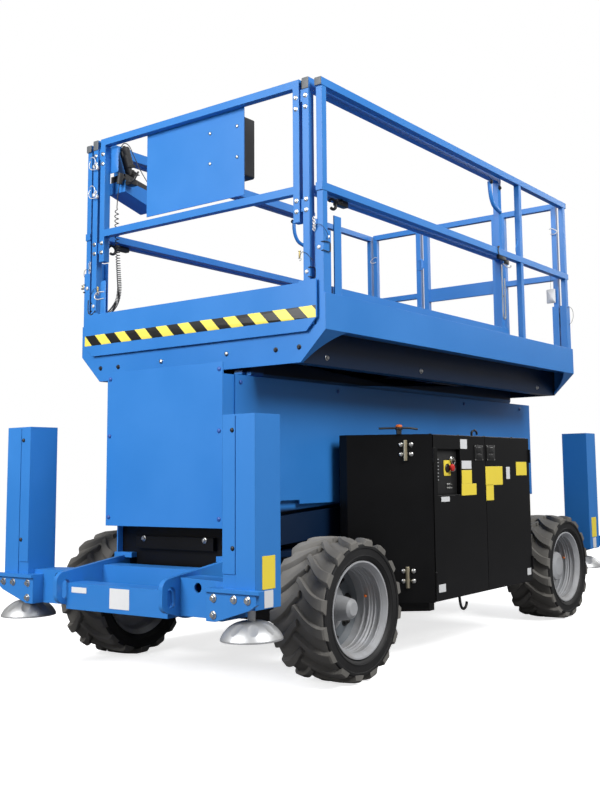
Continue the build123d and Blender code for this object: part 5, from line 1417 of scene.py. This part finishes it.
@dataclass
class RailHardware(Assembly):
    """End caps, sleeve pins with their clips and lanyards, and clamps on the guard rails."""

    def caps(self) -> None:
        """Plastic caps in the open ends of the top rails."""
        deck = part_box("platform_rails_side")
        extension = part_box("extension_rails")[1]
        rail_x, rail_z = deck[1].x, deck[1].z
        cap = soft_block((0.0385, 0.0385, 0.004), 0.003, 0.0012)
        main_caps = [
            cap.placed((rail_x, 0.809, rail_z - 0.019), Axis.FORWARD),
            cap.placed((deck[0].x, 0.809, rail_z - 0.019), Axis.BACKWARD)
        ]
        self.pair("rail_end_caps", main_caps, "Cap plastic", "platform")
        tall = soft_block((0.0385, 0.0545, 0.004), 0.003, 0.0012)
        sliding = [
            tall.placed((extension.x, 0.741, extension.z - 0.027), Axis.FORWARD),
            tall.placed((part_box("extension_rails")[0].x, 0.741, extension.z - 0.027), Axis.BACKWARD)
        ]
        self.pair("sliding_rail_caps", sliding, "Cap plastic", "extension")
        frame_cap = soft_block((0.004, 0.0385, 0.036), 0.001, 0.001)
        self.pair(
            "front_frame_caps", [frame_cap.placed((extension.x - 0.019, 0.7035, extension.z - 0.037))],
            "Latch black", "extension"
        )

    def pins(self) -> None:
        """Domed retaining pins in sleeves and posts, with their wire clips."""
        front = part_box("platform_deck")[1].x
        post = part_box("extension_rails")[1].x
        dome = dome_bolt(0.0105)
        self.pair(
            "sleeve_pins", [dome.placed((front, 0.806, 1.976), Axis.FORWARD)], "White metal", "platform"
        )
        self.pair(
            "post_pins", [dome.placed((post, 0.741, 1.868), Axis.FORWARD)], "White metal", "extension"
        )
        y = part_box("platform_deck")[1].y - 0.006
        clip = wire([
            (0.004, -0.012, 1.998), (0.004, 0.002, 1.999), (-0.012, 0.003, 2.000), (-0.042, 0.003, 1.999),
            (-0.047, 0.003, 1.978), (-0.042, 0.003, 1.957), (-0.012, 0.003, 1.956), (0.004, 0.002, 1.957),
            (0.004, -0.012, 1.958)
        ], 0.0022, (0, 0.3, 1), start=(front, y, 0))
        self.pair("sleeve_clips", [clip], "Latch black", "platform")
        inner = wire([
            (0.003, 0.752, 1.886), (0.003, 0.763, 1.887), (-0.012, 0.7635, 1.888), (-0.032, 0.7635, 1.887),
            (-0.036, 0.7635, 1.864), (-0.032, 0.7635, 1.842), (-0.012, 0.7635, 1.841),
            (0.003, 0.763, 1.842), (0.003, 0.752, 1.843)
        ], 0.0022, (0, 0.3, 1), start=(post, 0, 0))
        self.pair("post_clips", [inner], "Latch black", "extension")
        cord = wire([
            (0.004, 0.777, 2.072), (0.007, 0.800, 2.083), (0.006, 0.826, 2.075), (-0.006, 0.842, 2.050),
            (-0.026, 0.842, 2.026)
        ], 0.0013, (0, 0.2, 1), 6, start=(front, 0, 0))
        self.pair("sleeve_lanyards", [cord], "Cord jacket", "platform")
        low_cord = wire([
            (0.002, 0.704, 1.950), (0.007, 0.722, 1.962), (0.006, 0.744, 1.952), (-0.002, 0.763, 1.930),
            (-0.006, 0.775, 1.915)
        ], 0.0013, (0, 0.2, 1), 6, start=(post, 0, 0))
        self.pair("post_lanyards", [low_cord], "Cord jacket", "extension")
        ferrule = revolved([(0.003, 0.0), (0.0042, 0.002), (0.0042, 0.014), (0.003, 0.016)], 10)
        self.pair(
            "lanyard_ferrules", [ferrule.placed((front - 0.026, 0.843, 2.014))], "Bright zinc", "platform"
        )
        pin = revolved([
            (0.0035, 0.0), (0.0045, 0.003), (0.0045, 0.030), (0.0065, 0.032), (0.0065, 0.036),
            (0.002, 0.038)
        ], 12)
        ring = wire(arc((post + 0.003, 0.703, 1.932), (0, 0.008, 0), (0, 0, 0.008)), 0.0016, (1, 0, 0), 6)
        self.pair("post_safety_pins", [pin.placed((post + 0.004, 0.703, 1.934))], "Brass", "extension")
        self.pair("post_safety_rings", [ring], "Bright zinc", "extension")
        links = [
            wire(arc((front + 0.006, 0.783, z), (0, 0.006, 0), (0, 0, 0.010)), 0.002, (1, 0, 0), 6)
            for z in (2.064, 2.080, 2.096, 2.112)
        ]
        self.pair("chain_links", links, "Bright zinc", "platform")

    def clamps(self) -> None:
        """Slide lock clamps under the sliding mid rails: a body, its bolt and a curled handle."""
        z = 2.246
        body = soft_block((0.085, 0.034, 0.030), 0.006, 0.004)
        bolt = revolved([(0.007, 0.0), (0.007, 0.065), (0.005, 0.068)], 12)
        parts = [body.placed((1.135, 0.775, z - 0.030)), bolt.placed((1.150, 0.790, z - 0.02))]
        curl = arc((1.205, 0.778, z - 0.032), (0.026, 0, 0), (0, 0, 0.024), 12, (0.4, 5.2))
        self.pair("slide_locks", parts, "Latch black", "extension")
        self.pair("slide_lock_handles", [wire(curl, 0.0075, (0, 1, 0), 10)], "Latch black", "extension")

    def build(self) -> None:
        """Make every group."""
        self.caps()
        self.pins()
        self.clamps()


@dataclass
class HandsetDetails(Assembly):
    """Moulded grip, bellows and switches on the control handset, and its loose lead."""

    foot: tuple[float, float, float] = (1.170, -0.655, 2.620)
    lean: float = 22.0

    def build(self) -> None:
        """Make the grip's parts round the handset's stem."""
        stem = Matrix.Translation(self.foot) @ Matrix.Rotation(math.radians(self.lean), 4, "Y")
        grip = revolved([
            (0.016, 0.052), (0.030, 0.053), (0.034, 0.058), (0.031, 0.064), (0.0245, 0.070),
            (0.0232, 0.078), (0.0252, 0.088), (0.0236, 0.098), (0.0258, 0.108), (0.0242, 0.118),
            (0.0262, 0.128), (0.0248, 0.138), (0.0268, 0.150), (0.0262, 0.164), (0.0215, 0.172),
            (0.010, 0.175)
        ], 28)
        oval = Matrix.Diagonal((1.12, 0.94, 1.0, 1.0))
        trigger = soft_block((0.012, 0.020, 0.034), 0.004, 0.004).moved(
            Matrix.Translation((0.029, 0.0, 0.118))
        )
        thumb = soft_block((0.016, 0.010, 0.008), 0.003, 0.002).moved(Matrix.Translation((0.0, 0.0, 0.173)))
        self.add(
            "handset_grip", [part.moved(stem @ oval) for part in (grip, trigger, thumb)], "Control plastic",
            "extension"
        )
        folds = [(0.0455 - 0.0040 * k - (0.005 if k % 2 else 0.0), 0.004 + 0.0055 * k) for k in range(8)]
        self.add("handset_bellows", [revolved(folds, 28).moved(stem)], "Latch black", "extension")
        lead = wire([
            (1.300, -0.612, 2.752), (1.302, -0.575, 2.768), (1.302, -0.535, 2.742), (1.300, -0.495, 2.670),
            (1.296, -0.450, 2.590), (1.290, -0.405, 2.520)
        ], 0.0024, (1, 0, 0), 8)
        self.add("handset_lead", [lead], "Cord jacket", "extension")
        box = soft_block((0.052, 0.044, 0.030), 0.006, 0.005).placed((1.262, -0.560, 2.534))
        guard = wire([
            (1.272, -0.585, 2.560), (1.285, -0.560, 2.548), (1.287, -0.520, 2.548), (1.282, -0.500, 2.575),
            (1.270, -0.497, 2.600)
        ], 0.0055, (1, 0, 0), 10)
        self.add("handset_junction", [box, guard], "Latch black", "extension")


@dataclass
class FarCornerHardware(Assembly):
    """Clamps, clips and plates where the sliding rails meet the front frame on the machine's right."""

    def build(self) -> None:
        """Make the corner's groups."""
        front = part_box("extension_rails")[1].x
        gusset = plate(0.080, 0.148, 0.004, 0.008).placed((1.318, -0.642, 2.682), Axis.FORWARD)
        fin = plate(0.042, 0.190, 0.004, 0.012).placed((front, -0.660, 1.905), Axis.FORWARD)
        self.add("far_corner_plates", [gusset, fin], "Blue powder coat and painted shade", "extension")
        knobs, clips = [], []
        for z in (2.655, 2.492):
            knobs += [
                dome_bolt(0.012).placed((front, -0.752, z), Axis.FORWARD),
                dome_bolt(0.011).placed((front, -0.725, z - 0.014), Axis.FORWARD),
                hex_bolt(0.008).placed((front, -0.738, z + 0.014), Axis.FORWARD)
            ]
            clips.append(
                wire([
                    (0.006, -0.778, 0.035), (0.012, -0.782, 0.010), (0.014, -0.770, -0.014),
                    (0.014, -0.745, -0.022), (0.014, -0.722, -0.022), (0.010, -0.712, -0.004)
                ], 0.0026, (1, 0, 0), start=(front, 0, z))
            )
            clips.append(
                wire([
                    (0.004, -0.785, 0.045), (0.012, -0.765, 0.052), (0.012, -0.742, 0.044),
                    (0.010, -0.732, 0.020)
                ], 0.0022, (1, 0, 0), start=(front, 0, z))
            )
        self.add("far_corner_knobs", knobs, "White metal", "extension")
        low_clip = wire([
            (0.004, -0.650, 0.020), (0.008, -0.690, 0.022), (0.008, -0.718, 0.012), (0.008, -0.722, -0.006),
            (0.008, -0.700, -0.018), (0.004, -0.652, -0.016)
        ], 0.0032, (1, 0, 0), start=(front, 0, 1.918))
        self.add("far_corner_clips", [*clips, low_clip], "White metal", "extension")
        loop = wire([
            (0.004, -0.722, 1.842), (0.008, -0.735, 1.826), (0.008, -0.752, 1.822), (0.008, -0.768, 1.830),
            (0.006, -0.778, 1.848), (0.004, -0.780, 1.905)
        ], 0.0028, (1, 0, 0), start=(front, 0, 0))
        self.add("far_corner_cable", [loop], "Cord jacket", "extension")
        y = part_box("platform_deck")[0].y
        pin = revolved([(0.005, 0.0), (0.006, 0.003), (0.006, 0.045), (0.003, 0.048)], 12)
        pin = pin.placed((1.330, y + 0.008, 1.985), Axis.RIGHT)
        self.add("far_sleeve_pin", [pin], "Bright zinc", "platform")
        tip = [(1.330, -0.004, 1.985), (1.336, -0.016, 1.993), (1.336, -0.030, 2.001)]
        tip = wire(tip, 0.0035, (1, 0, 0), start=(0, y, 0))
        self.add("far_sleeve_tip", [tip], "Brass", "platform")


@dataclass
class SideRailHardware(Assembly):
    """Tube, hooks and slide lock near the sliding rail's rear post, and the rear post's small parts."""

    def sliding_post(self) -> None:
        """Bent handle tube and bolts of the sliding rail's rear end, on both sides."""
        tube = wire([
            (-0.420, 0.772, 2.712), (-0.422, 0.774, 2.660), (-0.436, 0.774, 2.610), (-0.468, 0.773, 2.572),
            (-0.520, 0.771, 2.556), (-0.565, 0.766, 2.552)
        ], 0.0125, (0, 1, 0), 16)
        self.pair("slide_handles", [tube], "Blue powder coat and painted shade", "extension")
        bolts = [
            hex_bolt(0.011).placed((x, y, 2.710), Axis.LEFT) for x, y in ((-0.420, 0.784), (-0.577, 0.760))
        ]
        bolts += [dome_bolt(0.009).placed((-0.577, 0.760, z), Axis.LEFT) for z in (2.02, 1.90)]
        self.pair("slide_handle_bolts", bolts, "Dark steel", "extension")

    def slide_lock(self) -> None:
        """Rear slide lock under the mid rail, its chrome lever and the rod that hangs from it."""
        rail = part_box("platform_rails_side")[1].y
        body = [
            soft_block((0.095, 0.020, 0.040), 0.006, 0.004).placed((-0.462, rail - 0.012, 2.222)),
            soft_block((0.050, 0.016, 0.030), 0.006, 0.004).placed((-0.530, rail - 0.012, 2.205))
        ]
        curl = wire([
            (-0.415, -0.004, 2.238), (-0.398, -0.002, 2.262), (-0.404, -0.002, 2.288),
            (-0.420, -0.004, 2.296)
        ], 0.0065, (0, 1, 0), 10, start=(0, rail, 0))
        self.pair("rear_slide_lock", body + [curl], "Latch black", "platform")
        lever = wire([
            (-0.470, -0.006, 2.200), (-0.505, -0.002, 2.186), (-0.560, -0.002, 2.190),
            (-0.575, -0.004, 2.204)
        ], 0.0035, (0, 1, 0), 8, start=(0, rail, 0))
        rod = wire([
            (-0.500, -0.030, 2.200), (-0.500, -0.030, 2.050), (-0.501, -0.030, 1.900),
            (-0.506, -0.030, 1.872), (-0.518, -0.030, 1.864), (-0.530, -0.030, 1.874),
            (-0.533, -0.030, 1.900), (-0.533, -0.030, 2.120)
        ], 0.0042, (0, 1, 0), 8, start=(0, rail, 0))
        self.pair("rear_lock_lever", [lever, rod], "Bright zinc", "platform")
        hook = wire([
            (-0.645, 0.0, 2.305), (-0.640, 0.003, 2.330), (-0.655, 0.003, 2.352), (-0.660, 0.003, 2.378),
            (-0.654, 0.0, 2.392)
        ], 0.0045, (0, 1, 0), 8, start=(0, rail, 0))
        self.pair("mid_rail_hooks", [hook], "Blue powder coat and painted shade", "platform")

    def rear_post(self) -> None:
        """Pins, taped sleeve and tether of the left rear post, and the blank card that hangs there."""
        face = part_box("platform_rails_rear")[1].x
        pin = wire([
            (0.004, 0.728, 2.606), (0.010, 0.742, 2.610), (0.010, 0.775, 2.594), (0.008, 0.785, 2.580),
            (0.010, 0.765, 2.566), (0.006, 0.734, 2.572)
        ], 0.0030, (1, 0, 0), start=(face, 0, 0))
        self.pair("rear_pin", [pin], "White metal", "platform")
        sleeve = soft_block((0.044, 0.046, 0.105), 0.004, 0.003).placed((face - 0.017, 0.752, 1.912))
        self.pair("rear_sleeve", [sleeve], "Blue fastener", "platform")
        band = soft_block((0.0405, 0.0405, 0.014), 0.004, 0.001)
        bands = [band.placed((face - 0.017, 0.752, z)) for z in (1.893, 2.034)]
        self.add("rear_bands", bands, "White plate", "platform")
        tether = wire([
            (face + 0.004, 0.775, 2.040), (-1.400, 0.846, 2.046), (-1.442, 0.850, 2.032),
            (-1.452, 0.850, 1.990), (-1.425, 0.849, 1.948), (-1.395, 0.842, 1.925)
        ], 0.0014, (0, 1, 0), 6)
        self.add("rear_tether", [tether], "Cord jacket", "platform")
        card = plate(0.066, 0.098, 0.0008, 0.004).placed((face + 0.006, 0.722, 2.135), Axis.FORWARD)
        string = wire([
            (face + 0.006, 0.723, 2.280), (face + 0.007, 0.722, 2.230), (face + 0.007, 0.722, 2.184)
        ], 0.0010, (1, 0, 0), 6)
        self.add("hanging_card", [card], "White plate", "platform")
        self.add("card_string", [string], "Cord jacket", "platform")

    def build(self) -> None:
        """Make every group."""
        self.sliding_post()
        self.slide_lock()
        self.rear_post()


@dataclass
class StackDetails(Assembly):
    """Small parts of the scissor stack."""

    def build(self) -> None:
        """Make the pin caps up the stack."""
        for level in range(1, 6):
            low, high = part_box(f"arms_outer_{level}")
            cap = revolved([(0.020, 0.0), (0.020, 0.004), (0.016, 0.007), (0.006, 0.008)], 20)
            middle = ((low.x + high.x) / 2, high.y, (low.z + high.z) / 2)
            self.pair(
                f"pin_caps_{level}", [cap.placed(middle, Axis.LEFT)], "Dark steel", f"arms_outer_{level}"
            )


# ------------------------------------------------------------------ stage
@dataclass
class Studio:
    """Pale floor, soft lamps, world and the camera."""

    location: tuple[float, float, float] = (4.879, 3.516, 0.945)
    heading: float = -145.106
    pitch: float = 6.716
    roll: float = -0.871
    focal: float = 987.95
    principal: tuple[float, float] = (365.13, 356.155)
    frame_size: tuple[int, int] = (600, 800)
    floor_seen: Colour = (0.93, 0.93, 0.93)
    floor_bounce: Colour = (0.16, 0.16, 0.17)
    floor_glow: float = 0.74
    sky: float = 0.24

    def build(self) -> None:
        """Make floor, lamps, world and camera."""
        self.build_floor()
        self.build_lamps()
        self.build_world()
        self.build_camera()

    def build_floor(self) -> None:
        """Round floor that shows nearly white to the camera and is dark to bounced light."""
        finish = bpy.data.materials.new("Studio floor")
        finish.use_nodes = True
        shader = finish.node_tree.nodes["Principled BSDF"]
        shader.inputs["Roughness"].default_value = 0.9
        sheet = Sheet(finish.node_tree)
        ray = sheet.node("LightPath")
        seen = sheet.math("MAXIMUM", ray.outputs["Is Camera Ray"], ray.outputs["Is Transmission Ray"])
        sheet.feed(sheet.blend(seen, self.floor_bounce, self.floor_seen), shader.inputs["Base Color"])
        sheet.feed(sheet.math("MULTIPLY", seen, self.floor_glow), shader.inputs["Emission Strength"])
        shader.inputs["Emission Color"].default_value = (1, 1, 1, 1)
        reach, top = 14.0, -0.0005
        disc = revolved([(reach, -0.02), (reach, top), (reach / 2, top), (0.01, top)], 64)
        mesh = bpy.data.meshes.new("studio_floor")
        mesh.from_pydata(disc.points.tolist(), [], disc.quads.tolist() + disc.triangles.tolist())
        mesh.materials.append(finish)
        floor = bpy.data.objects.new("studio_floor", mesh)
        bpy.context.scene.collection.objects.link(floor)

    def build_lamps(self) -> None:
        """Large soft lamps: a key over the front, a fill at the left side and a low one at the rear."""
        table = (
            # name, place, aimed at, size, watts
            ("key", (7.5, -1.0, 4.5), (0.6, 0.0, 1.3), 4.0, 620.0),
            ("fill", (1.0, 6.2, 5.8), (0.0, 0.3, 1.8), 4.0, 560.0),
            ("rear", (-7.0, 1.0, 4.5), (0.0, 0.0, 1.2), 4.0, 180.0),
        )
        for name, place, aim, size, watts in table:
            lamp = bpy.data.lights.new(name, "AREA")
            lamp.shape = "DISK"
            lamp.size = size
            lamp.energy = watts
            holder = bpy.data.objects.new(name, lamp)
            holder.location = place
            holder.rotation_euler = (Vector(aim) - Vector(place)).to_track_quat("-Z", "Y").to_euler()
            bpy.context.scene.collection.objects.link(holder)

    def build_world(self) -> None:
        """Even grey sky for the light, plain white for what the camera sees, directly or through glass."""
        world = bpy.data.worlds.new("studio")
        world.use_nodes = True
        bpy.context.scene.world = world
        world.node_tree.nodes.clear()
        sheet = Sheet(world.node_tree)
        ray = sheet.node("LightPath")
        seen = sheet.math("MAXIMUM", ray.outputs["Is Camera Ray"], ray.outputs["Is Transmission Ray"])
        ground = sheet.node("Background")
        ground.inputs[0].default_value = (1, 1, 1, 1)
        sheet.feed(sheet.span(seen, 0, 1, self.sky, 1.0), ground.inputs[1])
        sheet.feed(ground.outputs[0], sheet.node("OutputWorld").inputs[0])

    def build_camera(self) -> None:
        """Camera from its measured heading, pitch, roll, focal length and principal point."""
        across, down = self.frame_size
        data = bpy.data.cameras.new("camera")
        data.sensor_fit = "VERTICAL"
        data.sensor_height = 36.0
        data.lens = self.focal / down * data.sensor_height
        data.shift_x = (across / 2 - self.principal[0]) / down
        data.shift_y = (self.principal[1] - down / 2) / down
        data.clip_end = 200.0
        turn, lift = math.radians(self.heading), math.radians(self.pitch)
        forward = Vector((math.cos(turn) * math.cos(lift), math.sin(turn) * math.cos(lift), math.sin(lift)))
        right = forward.cross(Vector((0, 0, 1))).normalized()
        level = Matrix((right, right.cross(forward), -forward)).transposed().to_4x4()
        camera = bpy.data.objects.new("camera", data)
        camera.matrix_world = Matrix.Translation(self.location) @ level @ Matrix.Rotation(
            math.radians(self.roll), 4, "Z"
        )
        bpy.context.scene.collection.objects.link(camera)
        bpy.context.scene.camera = camera


def main() -> None:
    """Build the machine's looks, one class after another, and report each."""
    logging.basicConfig(level=logging.INFO, format="%(name)s: %(message)s")
    bpy.context.scene.view_settings.view_transform = "Standard"
    Studio().build()
    finishes = Finishes()
    groups = (
        HandsetCord, HandsetDetails, Tyres, WheelHardware, HazardBand, Fasteners, BlankPlates,
        ModuleHardware, RailHardware, FarCornerHardware, SideRailHardware, StackDetails
    )
    for group in groups:
        assembly = group(finishes)
        assembly.build()
        for piece in assembly.made:
            LOG.info("%s: %s", group.__name__, piece.name)
    LOG.info("dressed %d nodes", CadNodes(finishes).dress())


if __name__ == "__main__":
    main()
